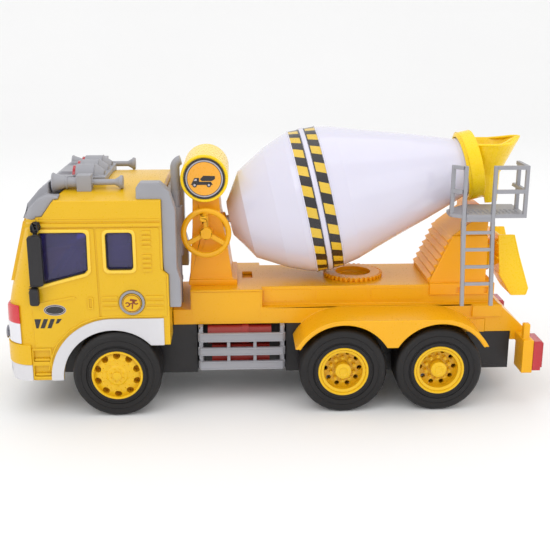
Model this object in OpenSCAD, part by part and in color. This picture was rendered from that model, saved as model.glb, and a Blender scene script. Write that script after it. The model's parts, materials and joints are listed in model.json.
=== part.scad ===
// Toy cement mixer truck: a friction-driven six-wheel truck whose drum is
// turned by a side handwheel through a pair of bevel gears. Millimetres.
// The cab faces -X, the drum mouth faces +X and +Z is up. The origin is on
// the floor, under the middle of the truck.

/* [Wheels] */
// Outer radius of every tyre
wheel_r = 21.5; // [21:0.25:22]
// Width of a tyre
tyre_w = 17; // [15:0.5:17.5]
// Outer radius of a rim, where the tyre seats
rim_r = 12.4; // [11.5:0.1:12.8]
// Distance from the middle plane to the outer face of a tyre
track_half = 46; // [45.5:0.25:46.5]
// Radius of the steel axles
axle_r = 1.5; // [1.3:0.1:1.7]
// Place of the front axle along the truck
front_axle_x = -78.6; // [-79.2:0.1:-78]
// Place of the middle axle along the truck
mid_axle_x = 31.6; // [31:0.1:32.2]
// Place of the rear axle along the truck
rear_axle_x = 78.9; // [78.3:0.1:79.5]
// Number of holes round each rim
rim_holes = 10; // [8:1:12]

/* [Body] */
// Wall thickness of the yellow mouldings
wall = 1.6; // [1.4:0.1:1.8]
// Height of the flat deck
deck_z = 58; // [57.6:0.1:58]
// Height of the ledge beside the deck
ledge_z = 48.4; // [47.5:0.1:48.8]
// Half width of the raised deck
deck_half_w = 20.6; // [20.3:0.1:20.6]
// Half width of the body side skirts
skirt_half_w = 25.4; // [25.2:0.1:25.6]
// Height of the bottom of the side skirts
skirt_z = 40; // [39.8:0.1:40.2]
// Half width over the rear mudguards
guard_half_w = 48; // [47.6:0.1:48]
// Radius of the wheel opening under a rear mudguard
guard_r = 24.5; // [24.2:0.1:24.8]

/* [Cab] */
// Half width of the cab
cab_half_w = 43; // [42.8:0.1:43.2]
// Radius of the cab's front corners in plan
cab_corner_r = 12; // [11:0.5:13]
// Height of the middle of the roof
roof_z = 112; // [111.8:0.1:112.2]
// Radius of the roof's crown across the truck
roof_crown_r = 187; // [180:1:195]

/* [Drum] */
// Tilt of the drum's axis, rising to the rear
drum_tilt = 12.3; // [12.2:0.1:12.4]
// Largest radius of the drum
drum_r = 36.5; // [36:0.1:36.6]
// Radius of the drum's mouth, which turns inside the collar
mouth_r = 15; // [14.8:0.1:15.1]
// Radial clearance between the mouth and its collar
mouth_gap = 0.5; // [0.4:0.05:0.6]
// Radius of the stub shaft at the front of the drum
drum_shaft_r = 2; // [1.9:0.05:2.1]

/* [Drive] */
// Number of teeth of each drum bevel gear
bevel_teeth = 12; // [12:1:12]
// Module of the bevel gears at their wide end
bevel_mod = 0.75; // [0.72:0.01:0.76]
// Radius of the handwheel rim's centre line
handwheel_r = 11.1; // [10.6:0.1:11.4]
// Module of the friction drive's gears
drive_mod = 0.55; // [0.54:0.005:0.555]
// Radial clearance of every shaft in its bearing
run_gap = 0.07; // [0.05:0.01:0.09]

/* [Hidden] */

$fn = 64;
eps = 0.02;
big = 400;

// ---- Colours ----
yellow = "#f4bd17";
amber = "#f0a81c";
grey = "#8f9196";
silver = "#c9c9ce";
black = "#232325";
white = "#e6e6f2";
red = "#b01224";
steel = "#b9bcc0";

// ---- Drum axis: s runs along the axis from the drum's widest ring ----
drum_x = 14;
drum_z = 97;
apex_x = -35;
apex_s = (apex_x - drum_x) / cos(drum_tilt);
apex_z = drum_z + apex_s * sin(drum_tilt);
mouth_s = 88;
mouth_wall = 1.3;
collar_s0 = 83;
collar_s1 = 91;
collar_r = 17.6;

// ---- Chassis ----
chassis_z = 14;
floor_t = 1.6;
chassis_half_w = 25;
waist_half_w = 19;
waist_x0 = -40.5;
waist_x1 = 4.5;
chassis_x0 = -118;
chassis_x1 = 119.5;
tail_cut_x = 103;
tail_cut_z = 33.9;
nose_x = -60;
nose_z = 34;
nose_half_w = 22;
axle_half = track_half - 3;

// ---- Cab outline ----
cab_front_x = -131;
cab_rear_x = -55;
cab_low_rear_x = -52.5;
cab_wall = 1.8;
cab_sill_z = 18.5;
arch_x = -80;
arch_z = 19;
arch_r = 24.8;
arch_low_z = 36;
windscreen_tilt = 15;
bumper_out = 1.5;
bumper_rear_x = -119.4;
trim_t = 0.8;
button_x = -70.2;
button_z = 57.7;
button_r = 4.6;
button_travel = 0.8;

// ---- Front post and barrel ----
post_half_w = 16;
post_wall = 1.4;
barrel_x = -35.4;
barrel_z = 113;
barrel_r = 11.7;
barrel_half = 20;
ring_x = 41;
ring_teeth = 36;
handwheel_y = -22;
handwheel_shaft_r = 1.6;

// ---- Rear pedestal, platform and chute ----
ped_half_w = 20;
ped_x0 = 77.3;
ped_x1 = 106.5;
ped_top_z = 95.2;
step_count = 7;
platform_t = 1.8;
platform_y0 = -34.5;
platform_y1 = -9;
bar_t = 1.8;
rail_z = 119.6;
mid_rail_z = 108;
stile_x = [89.9, 104.2];
ladder_lean = 8;
rung_drop = [6, 14.3, 22.7, 31.1];
pivot_x = 110.6;
pivot_r = 1.5;
bumper_x = 127.4;

// ---- Friction drive ----
axle_teeth = 24;
pinion_teeth = 10;
idler_teeth = 20;
gear_shaft_r = 1;
idler_angle = 22;
idler_dist = drive_mod * (axle_teeth + pinion_teeth) / 2;
idler_x = mid_axle_x + idler_dist * cos(idler_angle);
idler_z = wheel_r + idler_dist * sin(idler_angle);
fly_dist = drive_mod * (idler_teeth + pinion_teeth) / 2;
fly_x = idler_x + fly_dist;
fly_z = idler_z;
plate_y = 6;
plate_t = 1.2;

// ---- Placement helpers ----
module block(x0, x1, y0, y1, z0, z1) {
    translate([x0, y0, z0])
        cube([x1 - x0, y1 - y0, z1 - z0]);
}

// Box that is symmetric about the middle plane
module mid_block(x0, x1, half_w, z0, z1) {
    block(x0, x1, -half_w, half_w, z0, z1);
}

// Outline drawn in X and Z, extruded to both sides of the middle plane
module side_prism(half_w) {
    rotate([90, 0, 0])
        linear_extrude(height = 2 * half_w, center = true)
            children();
}

// Outline drawn in X and Z, extruded from y0 to y1
module side_slab(y0, y1) {
    translate([0, y1, 0])
        rotate([90, 0, 0])
            linear_extrude(height = y1 - y0)
                children();
}

// Rod along Y
module rod_y(x, z, y0, y1, r) {
    translate([x, y0, z])
        rotate([-90, 0, 0])
            cylinder(r = r, h = y1 - y0);
}

// Rod along X
module rod_x(y, z, x0, x1, r) {
    translate([x0, y, z])
        rotate([0, 90, 0])
            cylinder(r = r, h = x1 - x0);
}

module both_sides() {
    children();
    mirror([0, 1, 0])
        children();
}

// Frame whose +Z runs along the drum's axis, with s = 0 at the widest ring
module on_drum_axis() {
    translate([drum_x, 0, drum_z])
        rotate([0, 90 - drum_tilt, 0])
            children();
}

// ---- Gear teeth: involute flanks between the root and the tip ----
pressure = 25;
addendum = 0.8;
dedendum = 1.1;
backlash = 0.16;
flank_steps = 4;
function base_r(m, n) = m * n / 2 * cos(pressure);
function inv_at(rb, r) = sqrt(max(0, r * r / (rb * rb) - 1)) * 180 / PI - acos(min(1, rb / r));
function half_angle(m, n, r) =
    let (rp = m * n / 2, rb = base_r(m, n))
    (PI * m / 2 - backlash) / 2 / rp * 180 / PI + inv_at(rb, rp) - inv_at(rb, max(r, rb));
function flank_r(m, n, i) =
    let (r0 = m * (n / 2 - dedendum), r1 = m * (n / 2 + addendum))
    r0 + (r1 - r0) * i / flank_steps;
function tooth(m, n, mid) = concat(
    [for (i = [0 : flank_steps]) let (r = flank_r(m, n, i), a = mid - half_angle(m, n, r)) r * [cos(a), sin(a)]],
    [for (i = [flank_steps : -1 : 0]) let (r = flank_r(m, n, i), a = mid + half_angle(m, n, r)) r * [cos(a), sin(a)]]);

// Spur gear outline with one tooth pointing at angle turn
module gear_outline(m, n, turn) {
    polygon([for (k = [0 : n - 1]) each tooth(m, n, turn + k * 360 / n)]);
}

// Spur gear across Y, where turn is measured from +X towards +Z
module gear_y(x, z, y0, y1, m, n, turn) {
    translate([x, y1, z])
        rotate([90, 0, 0])
            linear_extrude(height = y1 - y0)
                gear_outline(m, n, turn);
}

// Bevel gear along +Z: wide end at pitch radius from the apex, teeth towards the apex
module bevel_gear(turn) {
    pitch_r = bevel_mod * bevel_teeth / 2;
    face = 2;
    translate([0, 0, pitch_r])
        mirror([0, 0, 1])
            linear_extrude(height = face, scale = (pitch_r - face) / pitch_r)
                gear_outline(bevel_mod, bevel_teeth, turn);
}

// ---- Cab solid: side profile, rounded plan and crowned roof, grown by d ----
function cab_profile(d) = [
    [-128.6 - d, cab_sill_z], [cab_front_x - d, 27], [cab_front_x - d, 38],
    [-130 - d, 52], [-128.4 - d, 65], [-119.8 - d, 97], [-118.6 - d, 98.6 + d],
    [-110.4 - d, 99.4 + d], [-104.6 - d, 107.4 + d], [-99, roof_z + d], [-60, roof_z + d],
    [cab_rear_x + d, roof_z - 1.5 + d], [cab_rear_x + d, 73], [cab_low_rear_x + d, 71],
    [cab_low_rear_x + d, cab_sill_z]
];

module cab_plan(d, x1) {
    half = cab_half_w + d;
    r = cab_corner_r + d;
    x0 = cab_front_x - d;
    translate([x0 + r, -half])
        square([x1 - x0 - r, 2 * half]);
    translate([x0, -half + r])
        square([r + eps, 2 * half - 2 * r]);
    for (side = [-1, 1])
        translate([x0 + r, side * (half - r)])
            circle(r = r);
}

// The second plan is tilted, so the windscreen's corners stay round to the top
module cab_solid(d) {
    intersection() {
        side_prism(cab_half_w + d)
            polygon(cab_profile(d));
        linear_extrude(height = 150)
            cab_plan(d, cab_low_rear_x + d);
        translate([-128.4, 0, 65])
            rotate([0, windscreen_tilt, 0])
                translate([-cab_front_x, 0, -150])
                    linear_extrude(height = 300)
                        cab_plan(d, 60);
        translate([-150, 0, roof_z - roof_crown_r])
            rotate([0, 90, 0])
                cylinder(r = roof_crown_r + d, h = 120, $fn = 128);
    }
}

// Wheel opening in the cab side, from the sill up
module cab_arch(grow) {
    r = arch_r + grow;
    translate([arch_x, arch_z])
        circle(r = r, $fn = 96);
    translate([arch_x - r, -1])
        square([2 * r, arch_z + 1]);
}

module front_window() {
    polygon([[-112.6, 91], [-111.2, 92.2], [-91.2, 92.2], [-90, 91], [-90.2, 74.2], [-92, 72.3], [-114.6, 66.4]]);
}

module rear_window() {
    polygon([[-81.4, 90.8], [-80.2, 92], [-70, 92], [-68.8, 90.8], [-68.8, 75], [-70, 73.8], [-80.2, 73.8], [-81.4, 75]]);
}

// ---- Chassis ----
module chassis_outer() {
    mid_block(nose_x, waist_x0, chassis_half_w, chassis_z, skirt_z);
    mid_block(waist_x0 - eps, waist_x1 + eps, waist_half_w, chassis_z, skirt_z);
    mid_block(waist_x1, tail_cut_x, chassis_half_w, chassis_z, skirt_z);
    mid_block(tail_cut_x - eps, chassis_x1, chassis_half_w, chassis_z, tail_cut_z);
    mid_block(chassis_x0, nose_x + eps, nose_half_w, chassis_z, nose_z);
}

module chassis_inner() {
    z0 = chassis_z + floor_t;
    mid_block(nose_x + wall, waist_x0 - wall, chassis_half_w - wall, z0, big);
    mid_block(nose_x, waist_x1 + 2 * wall, waist_half_w - wall, z0, big);
    mid_block(waist_x1 + wall, tail_cut_x, chassis_half_w - wall, z0, big);
    mid_block(tail_cut_x - eps, chassis_x1 - wall, chassis_half_w - wall, z0, big);
    mid_block(chassis_x0 + wall, nose_x + 2 * wall, nose_half_w - wall, z0, big);
}

screw_at = [[-108, 0], [-50, -12], [-50, 12], [14, -14], [14, 14], [66, -14], [66, 14], [110, 0]];
screw_head_r = 2.5;
screw_head_h = 1.4;
screw_r = 1.2;
boss_h = 12;

module battery_hatch(gap) {
    mid_block(-28 - gap, -1 + gap, 9 + gap, chassis_z - eps, chassis_z + floor_t + eps);
}

module chassis_tub() {
    color(black)
        difference() {
            union() {
                difference() {
                    chassis_outer();
                    chassis_inner();
                }
                for (p = screw_at)
                    translate([p[0], p[1], chassis_z])
                        cylinder(r = 3.6, h = boss_h);
            }
            for (x = [front_axle_x, mid_axle_x, rear_axle_x])
                rod_y(x, wheel_r, -big / 2, big / 2, axle_r + run_gap);
            for (p = screw_at)
                translate([p[0], p[1], chassis_z - eps]) {
                    cylinder(r = screw_head_r, h = screw_head_h + eps);
                    cylinder(r = screw_r, h = boss_h + 1);
                }
            battery_hatch(0.1);
            block(mid_axle_x - 8.5, mid_axle_x + 8.5, -6.2, -0.8, chassis_z - 1, chassis_z + floor_t + 1);
        }
}

// ---- Yellow body: deck, ledge, skirts, tail and mudguards ----
tail_profile = [[104, 34], [104, 48.4], [113, 48.4], [126, 36.4], [126, 29.4], [119.6, 29.4], [119.6, 34]];

module guard_outline() {
    difference() {
        union() {
            for (x = [mid_axle_x, rear_axle_x])
                translate([x, wheel_r])
                    circle(r = guard_r + 2.3);
            polygon([[mid_axle_x, 34], [mid_axle_x, ledge_z - 0.1], [rear_axle_x, ledge_z - 0.1], [rear_axle_x, 34]]);
        }
        for (x = [mid_axle_x, rear_axle_x])
            translate([x, wheel_r])
                circle(r = guard_r);
        translate([-big / 2, -big + 34])
            square([big, big]);
        translate([mid_axle_x, 0])
            square([rear_axle_x - mid_axle_x, wheel_r + 12.7]);
    }
}

module body_deck() {
    front_x = -43.4;
    step_x = -7.6;
    ledge_end = 111;
    roof_t = 1.8;
    color(yellow) {
        difference() {
            union() {
                mid_block(front_x, step_x, skirt_half_w, skirt_z, deck_z);
                mid_block(step_x - eps, ledge_end, skirt_half_w, skirt_z, ledge_z);
                mid_block(step_x - eps, ledge_end, deck_half_w, ledge_z - eps, deck_z);
                mid_block(-52.2, front_x + eps, skirt_half_w, skirt_z, 47.8);
                side_prism(skirt_half_w)
                    polygon(tail_profile);
            }
            mid_block(front_x + wall, step_x - wall, skirt_half_w - wall, 0, deck_z - roof_t);
            mid_block(-52.2 + wall, front_x + 2 * wall, skirt_half_w - wall, 0, 47.8 - roof_t);
            mid_block(step_x - 2 * wall, ledge_end - wall, skirt_half_w - wall, 0, ledge_z - roof_t);
            mid_block(step_x - 2 * wall, ledge_end - wall, deck_half_w - wall, 0, deck_z - roof_t);
            block(-17.2, -12, -4.5, 8, deck_z - 3, deck_z + 1);
            translate([ring_x, 0, deck_z - 1.2])
                cylinder(r = 9.2, h = 4);
        }
        both_sides()
            side_slab(skirt_half_w - 0.4, guard_half_w)
                guard_outline();
        both_sides() {
            block(99, 114, skirt_half_w - 1, skirt_half_w + 1.2, 42.4, 48.3);
            block(88, 106, chassis_half_w, skirt_half_w + 0.4, tail_cut_z + 0.1, skirt_z + 1);
        }
    }
}

// ---- Cab ----
module cab_shell() {
    color(yellow)
        difference() {
            union() {
                cab_solid(0);
                intersection() {
                    cab_solid(bumper_out);
                    mid_block(-big, bumper_rear_x, big, 26.8, 37);
                }
            }
            cab_solid(-cab_wall);
            translate([0, 0, -1])
                linear_extrude(height = 46)
                    cab_plan(-cab_wall - 2.4);
            side_prism(big / 4)
                cab_arch(0);
            side_prism(big / 4)
                front_window();
            side_prism(big / 4)
                rear_window();
            side_prism(big / 4)
                polygon([[arch_x, 0], [arch_x, arch_low_z], [-40, arch_low_z], [-40, 0]]);
            mid_block(-big, -116, 33, 69, 95);
            mid_block(cab_rear_x - 8, -50, chassis_half_w + 0.3, 0, 46);
            for (side = [-1, 1])
                for (z = [20.4, 28])
                    block(-119, -110.5, side > 0 ? cab_half_w - 1 : -cab_half_w - 1,
                        side > 0 ? cab_half_w + 1 : -cab_half_w + 1, z, z + 6);
            rod_y(button_x, button_z, -cab_half_w - 1, -cab_half_w + 5, button_r + 0.3);
        }
}

// Silver trim round each front wheel opening
module arch_trims() {
    color(silver)
        both_sides()
            side_slab(-cab_half_w - trim_t, -cab_half_w)
                difference() {
                    intersection() {
                        union() {
                            cab_arch(5.8);
                            polygon([[arch_x, 20], [arch_x, 49.6], [-55.4, 49.6], [-55.4, arch_low_z]]);
                        }
                        translate([-big, cab_sill_z])
                            square([big - 55.4, 31.1]);
                    }
                    cab_arch(0);
                    translate([arch_x, 0])
                        square([40, arch_low_z]);
                }
}

// Silver lower lip of the front bumper
module front_bumper_trim() {
    color(silver)
        difference() {
            intersection() {
                cab_solid(bumper_out - 0.3);
                mid_block(-big, bumper_rear_x, big, cab_sill_z, 26.8);
            }
            cab_solid(0);
        }
}

// Clear lamp and red marker on each front corner
module headlamps() {
    color(white)
        difference() {
            intersection() {
                cab_solid(1);
                both_sides()
                    block(-big, -124, 18, 44, 37.4, 56.5);
            }
            cab_solid(0);
        }
}

// Tinted liner behind the windscreen and the side windows
module window_insert() {
    color("#3a3650", 0.8)
        difference() {
            intersection() {
                cab_solid(-cab_wall);
                mid_block(-big, -65, big, 65.3, 96.5);
            }
            cab_solid(-cab_wall - 1);
        }
}

// Seats, dashboard and steering wheel on one base plate
module cab_interior() {
    half = 27;
    color(black) {
        mid_block(-112, -60, half, 46.2, 48.2);
        both_sides()
            block(-112, -60, half - eps, cab_half_w - cab_wall, 46.2, 48.2);
        both_sides() {
            block(-90, -70, 5, 24, 48.2 - eps, 60);
            block(-74, -67, 5, 24, 48.2 - eps, 82);
            block(-72.5, -69, 9, 20, 82 - eps, 88);
        }
        mid_block(-112, -103, half, 48.2 - eps, 66);
        translate([-103 - eps, -14, 62])
            rotate([0, 60, 0])
                cylinder(r = 1.2, h = 7);
        translate([-97, -14, 65.5])
            rotate([0, 60, 0])
                rotate_extrude()
                    translate([5.5, 0])
                        circle(r = 0.9);
        translate([-97.6, -14, 65.2])
            rotate([0, 60, 0])
                cylinder(r = 5.6, h = 0.8);
    }
}

// Grey sun visor over the windscreen
module roof_visor() {
    color(grey)
        difference() {
            intersection() {
                union() {
                    side_prism(33.5)
                        polygon([[-120.4, 97.2], [-118.6, 104], [-112.6, 110.8], [-106.4, 115.4], [-98, 115.4],
                            [-98, 106], [-108, 98], [-116, 97.2]]);
                    side_prism(41.4)
                        polygon([[-119.6, 98], [-117, 102.6], [-112, 107.6], [-107.6, 109.6], [-102.4, 109],
                            [-102, 106], [-107.6, 98]]);
                }
                translate([-128.4, 0, 65])
                    rotate([0, windscreen_tilt, 0])
                        translate([-cab_front_x, 0, 0])
                            linear_extrude(height = 80)
                                cab_plan(1.2, 60);
            }
            cab_solid(0);
            for (y = [-14, 14])
                block(-112, -97, y - 5, y + 5, 114, 120);
            both_sides()
                block(-108, -90, 23, 36, 108, 120);
        }
}

pod_y = [-14, 0, 14];
pod_r = 6.4;

module roof_light_bar() {
    color(grey)
        difference() {
            union() {
                mid_block(-97.6, -83, 22, 105, 114.5);
                for (y = pod_y) {
                    rod_x(y, 113.4, -97.6, -88.5, pod_r);
                    translate([-88.5 - eps, y, 113.4])
                        rotate([0, 90, 0])
                            cylinder(r1 = pod_r, r2 = 3.4, h = 4.5);
                }
            }
            cab_solid(0);
        }
}

module beacon_lenses() {
    color(red)
        difference() {
            for (y = pod_y)
                rod_x(y, 113.4, -99, -97.6, pod_r - 0.6);
            mid_block(-110, -90, 40, 90, 115.45);
        }
}

// Air horns along X, each with its clamp on the roof
module air_horns() {
    y = 28;
    z = 113.2;
    color(grey)
        both_sides() difference() {
            union() {
                translate([-106.4, y, z])
                    rotate([0, 90, 0])
                        cylinder(r1 = 4.5, r2 = 2.4, h = 6);
                rod_x(y, z, -100.5, -88, 2.4);
                block(-95.2, -88.3, y - 3.6, y + 3.6, 105, 117);
                rod_x(y, z, -88.5, -77, 1.4);
                translate([-77.5, y, z])
                    rotate([0, 90, 0])
                        cylinder(r1 = 1.4, r2 = 2.9, h = 2.6);
                rod_x(y, z, -75, -73.6, 3.1);
            }
            cab_solid(0);
            rod_x(y, z, -108, -104.6, 3.2);
        }
}

// Grey frame that wraps the cab's rear corners
module cab_rear_frame() {
    color(grey)
        difference() {
            union() {
                side_slab(-41.6, -34)
                    polygon([[-66.5, 105], [-66.5, 112.6], [-64.6, 115], [-55.6, 115], [-51.2, 111], [-48.6, 102],
                        [-48.6, 74], [-46.9, 68], [-46.9, 54.6], [-52.4, 54.6], [-55, 76], [-55, 100]]);
                side_slab(34, 41.6)
                    polygon([[-55, 106], [-50.2, 104], [-48.6, 100], [-48.6, 74], [-46.9, 68], [-46.9, 54.6],
                        [-52.4, 54.6], [-55, 76]]);
                mid_block(-55, -52.6, 34 + eps, 99, 106);
            }
            cab_solid(0);
        }
}

stack_x = -50;
stack_y = -12;

module exhaust_stack() {
    bend_r = 4;
    color(grey) {
        translate([stack_x, stack_y, 47.8])
            cylinder(r = 2.3, h = 69.5);
        translate([stack_x, stack_y, 73])
            cylinder(r = 3.3, h = 25);
        for (z = [60, 104])
            translate([stack_x, stack_y, z])
                cylinder(r = 2.6, h = 2);
        translate([stack_x + bend_r, stack_y, 47.8 + 69.5 - eps])
            mirror([1, 0, 0])
                rotate([90, 0, 0])
                    rotate_extrude(angle = 75)
                        translate([bend_r, 0])
                            circle(r = 2.3);
    }
}

module door_mirrors() {
    color(black)
        both_sides() {
            block(-116.8, -110.4, 44.4, 47.6, 67.4, 91.4);
            block(-117.6, -113.2, 44.4, 47.6, 57.6, 66);
            rod_y(-113, 95.4, 44.1, 47.9, 2);
            rod_y(-113, 95.4, cab_half_w, 44.2, 1.4);
            block(-114, -112, 45, 47, 91 - eps, 95);
            block(-116.4, -114.4, 45, 47, 65.6, 67.8);
            rod_y(-115.4, 62, cab_half_w, 45, 1.2);
        }
}

// Grey ring pressed on the cab side round the sound button
module button_bezel() {
    color(grey)
        difference() {
            rod_y(button_x, button_z, -cab_half_w - 1, -cab_half_w, 6);
            rod_y(button_x, button_z, -cab_half_w - 2, -cab_half_w + 1, button_r + 0.3);
        }
}

module sound_button() {
    back = cab_half_w - cab_wall;
    color(yellow) {
        rod_y(button_x, button_z, -cab_half_w - 1.6, -back + 0.2, button_r);
        rod_y(button_x, button_z, -back + 0.1, -back + 1.2, button_r + 0.8);
        rod_y(button_x, button_z, -back + 1.2 - eps, -back + 4, 1.6);
    }
}

module sound_board() {
    y0 = -cab_half_w + cab_wall + 4 + button_travel + 0.9;
    color("#1f7a3c") {
        block(-84, -60.4, y0, y0 + 1.4, 48.2, 72);
        rod_y(button_x, button_z, y0 - 0.6, y0 + eps, 1.2);
        block(button_x - 3, button_x + 3, y0 - 0.4, y0 + eps, button_z - 3, button_z + 3);
        block(-82, -76, y0 + 1.4 - eps, y0 + 3.4, 52, 58);
    }
}

module speaker() {
    color("#4a4a4e") {
        translate([-96, 0, 39])
            cylinder(r = 13, h = 2.4);
        translate([-96, 0, nose_z + 1])
            cylinder(r = 7, h = 4.2);
        translate([-96, 0, 41.4 - eps])
            cylinder(r1 = 11, r2 = 9, h = 1);
        block(-111, -81, -nose_half_w, nose_half_w, nose_z, nose_z + 1 + eps);
    }
}

// ---- Front post, barrel and deck ring ----
post_profile = [[-44.3, deck_z], [-43.7, 62], [-41.9, 88], [-41.5, 106], [-28.8, 106], [-27.6, 92], [-24.8, 80], [-22.3, 62], [-20, deck_z]];
post_hollow = [[-42.7, 50], [-42.3, 62], [-40.5, 88], [-40.1, 99.6], [-30.2, 99.6], [-29.1, 92], [-26.3, 80], [-23.8, 62], [-22.2, 50]];

module front_post() {
    color(amber)
        difference() {
            union() {
                difference() {
                    union() {
                        side_prism(post_half_w)
                            polygon(post_profile);
                        mid_block(-44.3, -19.8, post_half_w + 1.2, deck_z, 61);
                    }
                    side_prism(post_half_w - post_wall)
                        polygon(post_hollow);
                }
                on_drum_axis()
                    translate([0, 0, -43.2])
                        cylinder(r = 4, h = 3.4);
                rod_y(apex_x, apex_z, -post_half_w - 0.8, -post_half_w + 5, 3.6);
            }
            on_drum_axis()
                translate([0, 0, -44])
                    cylinder(r = drum_shaft_r + run_gap, h = 6);
            rod_y(apex_x, apex_z, -post_half_w - 2, -post_half_w + 6, handwheel_shaft_r + run_gap);
            rod_y(barrel_x, barrel_z, -30, 30, barrel_r);
        }
}

module sign_barrel() {
    color(yellow)
        difference() {
            rod_y(barrel_x, barrel_z, -barrel_half, barrel_half, barrel_r);
            rod_y(barrel_x, barrel_z, -barrel_half + 2, barrel_half - 2, barrel_r - 1.6);
            rod_y(barrel_x, barrel_z, -barrel_half - 1, -barrel_half + 0.5, barrel_r - 1.3);
        }
}

module deck_ratchet_ring() {
    color(amber)
        difference() {
            union() {
                translate([ring_x, 0, deck_z])
                    cylinder(r = 14, h = 2);
                for (k = [0 : ring_teeth - 1])
                    translate([ring_x, 0, deck_z])
                        rotate([0, 0, k * 360 / ring_teeth])
                            translate([13.5, -0.65, 0])
                                cube([1.9, 1.3, 2]);
            }
            translate([ring_x, 0, deck_z - 1])
                cylinder(r = 9.2, h = 5);
        }
}

// ---- Drum and its drive ----
drum_profile = [[9, -38], [22.8, -29], [31.3, -14], [35.8, -3], [drum_r, 0], [drum_r - 0.2, 13.6],
    [34.6, 22], [30.6, 34], [22.4, 60], [mouth_r, 82], [mouth_r, mouth_s]];
drum_inner = [[mouth_r - mouth_wall, mouth_s + 1], [mouth_r - mouth_wall, 81.6], [21.1, 59.6], [29.3, 33.6], [33.2, 21.6],
    [34.9, 13], [34.9, 0.6], [34.4, -2.4], [30.1, -13.2], [21.8, -27.9], [8.4, -36.6]];

module drum_shell() {
    color(white)
        on_drum_axis() {
            difference() {
                rotate_extrude($fn = 96)
                    polygon(concat([[0, -38]], drum_profile, [[0, mouth_s]]));
                rotate_extrude($fn = 96)
                    polygon(concat([[0, mouth_s + 1]], drum_inner, [[0, -36.6]]));
            }
            translate([0, 0, apex_s + 2.7])
                cylinder(r = drum_shaft_r, h = -37 - apex_s - 2.7);
        }
}

// Disc that closes the drum's mouth
module drum_cap() {
    color(white)
        on_drum_axis() {
            translate([0, 0, mouth_s - 4])
                cylinder(r = mouth_r - mouth_wall, h = 2);
            translate([0, 0, mouth_s - 2 - eps])
                cylinder(r1 = 6, r2 = 4.5, h = 1.2);
        }
}

// Gap centred on the side of the handwheel's gear
module drum_gear() {
    color(steel)
        on_drum_axis()
            translate([0, 0, apex_s])
                difference() {
                    union() {
                        bevel_gear(-90 + 180 / bevel_teeth);
                        translate([0, 0, bevel_mod * bevel_teeth / 2 - eps])
                            cylinder(r = 3.4, h = 1);
                    }
                    cylinder(r = drum_shaft_r, h = 9);
                }
}

// The handwheel's frame: +Z runs to the near side, away from the apex
module on_handwheel_axis() {
    translate([apex_x, 0, apex_z])
        rotate([90, 0, 0])
            children();
}

module handwheel() {
    plane = -handwheel_y;
    color(yellow)
        on_handwheel_axis() {
            translate([0, 0, plane])
                rotate_extrude()
                    translate([handwheel_r, 0])
                        circle(r = 1.4);
            for (a = [90, 210, 330])
                rotate([0, 0, a])
                    translate([0, -1.2, plane - 0.9])
                        cube([handwheel_r, 2.4, 1.8]);
            translate([0, 0, plane - 2.2])
                cylinder(r = 3, h = 4);
            rotate([0, 0, 98])
                translate([handwheel_r - 3, 0, plane])
                    cylinder(r = 1.7, h = 4.2);
            translate([0, 0, 2.7])
                cylinder(r = handwheel_shaft_r, h = plane - 2.7);
        }
}

// Tooth centred on the drum's axis
module handwheel_gear() {
    color(steel)
        on_handwheel_axis()
            difference() {
                union() {
                    bevel_gear(drum_tilt);
                    translate([0, 0, bevel_mod * bevel_teeth / 2 - eps])
                        cylinder(r = 3.2, h = 1);
                }
                cylinder(r = handwheel_shaft_r, h = 9);
            }
}

// ---- Rear pedestal, collar, hopper and chute ----
// Stepped front slope, then a shallower slope up to the platform
step_dx = 1.53;
step_dz = 3.3;
step_rise = 2.3;
function step_points() = [for (k = [0 : step_count - 1]) each [
    [ped_x0 + k * step_dx, 59.6 + k * step_dz],
    [ped_x0 + k * step_dx - 0.7, 59.6 + k * step_dz + step_rise * 0.5],
    [ped_x0 + k * step_dx + step_dx, 59.6 + k * step_dz + step_rise]]];

module rear_pedestal() {
    foot_half_w = deck_half_w + 1.2;
    color(amber)
        difference() {
            union() {
                side_slab(-ped_half_w + 1.4, ped_half_w)
                    polygon(concat([[ped_x1, deck_z], [ped_x0, deck_z]], step_points(),
                        [[88.4, 82.6], [99.5, 91], [99.5, ped_top_z], [ped_x1, ped_top_z]]));
                side_slab(-ped_half_w, -ped_half_w + 1.4 + eps)
                    polygon([[ped_x1, deck_z], [ped_x0 + 0.6, deck_z], [ped_x0 + 0.6, 60], [88.6, 83], [ped_x1, 83]]);
                mid_block(ped_x0 + 0.4, 110.8, foot_half_w, 52.8, deck_z + 0.7);
                for (z = [60.4, 74.6])
                    translate([pivot_x, 0, z])
                        cylinder(r = 2.8, h = 2);
                for (z = [60.4, 74.6])
                    mid_block(ped_x1 - 1, pivot_x, 2.8, z, z + 2);
                translate([pivot_x, 0, 61])
                    cylinder(r = pivot_r, h = 14);
            }
            mid_block(0, 150, deck_half_w, 0, deck_z);
            side_prism(ped_half_w - 1.6)
                polygon([[ped_x1 - 1.6, 40], [ped_x0 + 3, 40], [ped_x0 + 3, 60], [89.6, 80.6], [ped_x1 - 1.6, 93]]);
            on_drum_axis()
                translate([0, 0, 60])
                    cylinder(r = collar_r, h = 60);
            both_sides()
                for (x = stile_x)
                    block(x + 1.4, x + 3.2, foot_half_w - 0.9, foot_half_w + 1, 53.6, 56.6);
        }
}

module rear_collar() {
    color(amber)
        on_drum_axis()
            difference() {
                union() {
                    translate([0, 0, collar_s0])
                        cylinder(r1 = collar_r - 1.2, r2 = collar_r, h = 1.2);
                    translate([0, 0, collar_s0 + 1.2 - eps])
                        cylinder(r = collar_r, h = collar_s1 - collar_s0 - 1.2 + eps);
                }
                translate([0, 0, collar_s0 - 1])
                    cylinder(r = mouth_r + mouth_gap, h = 12);
            }
}

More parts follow.
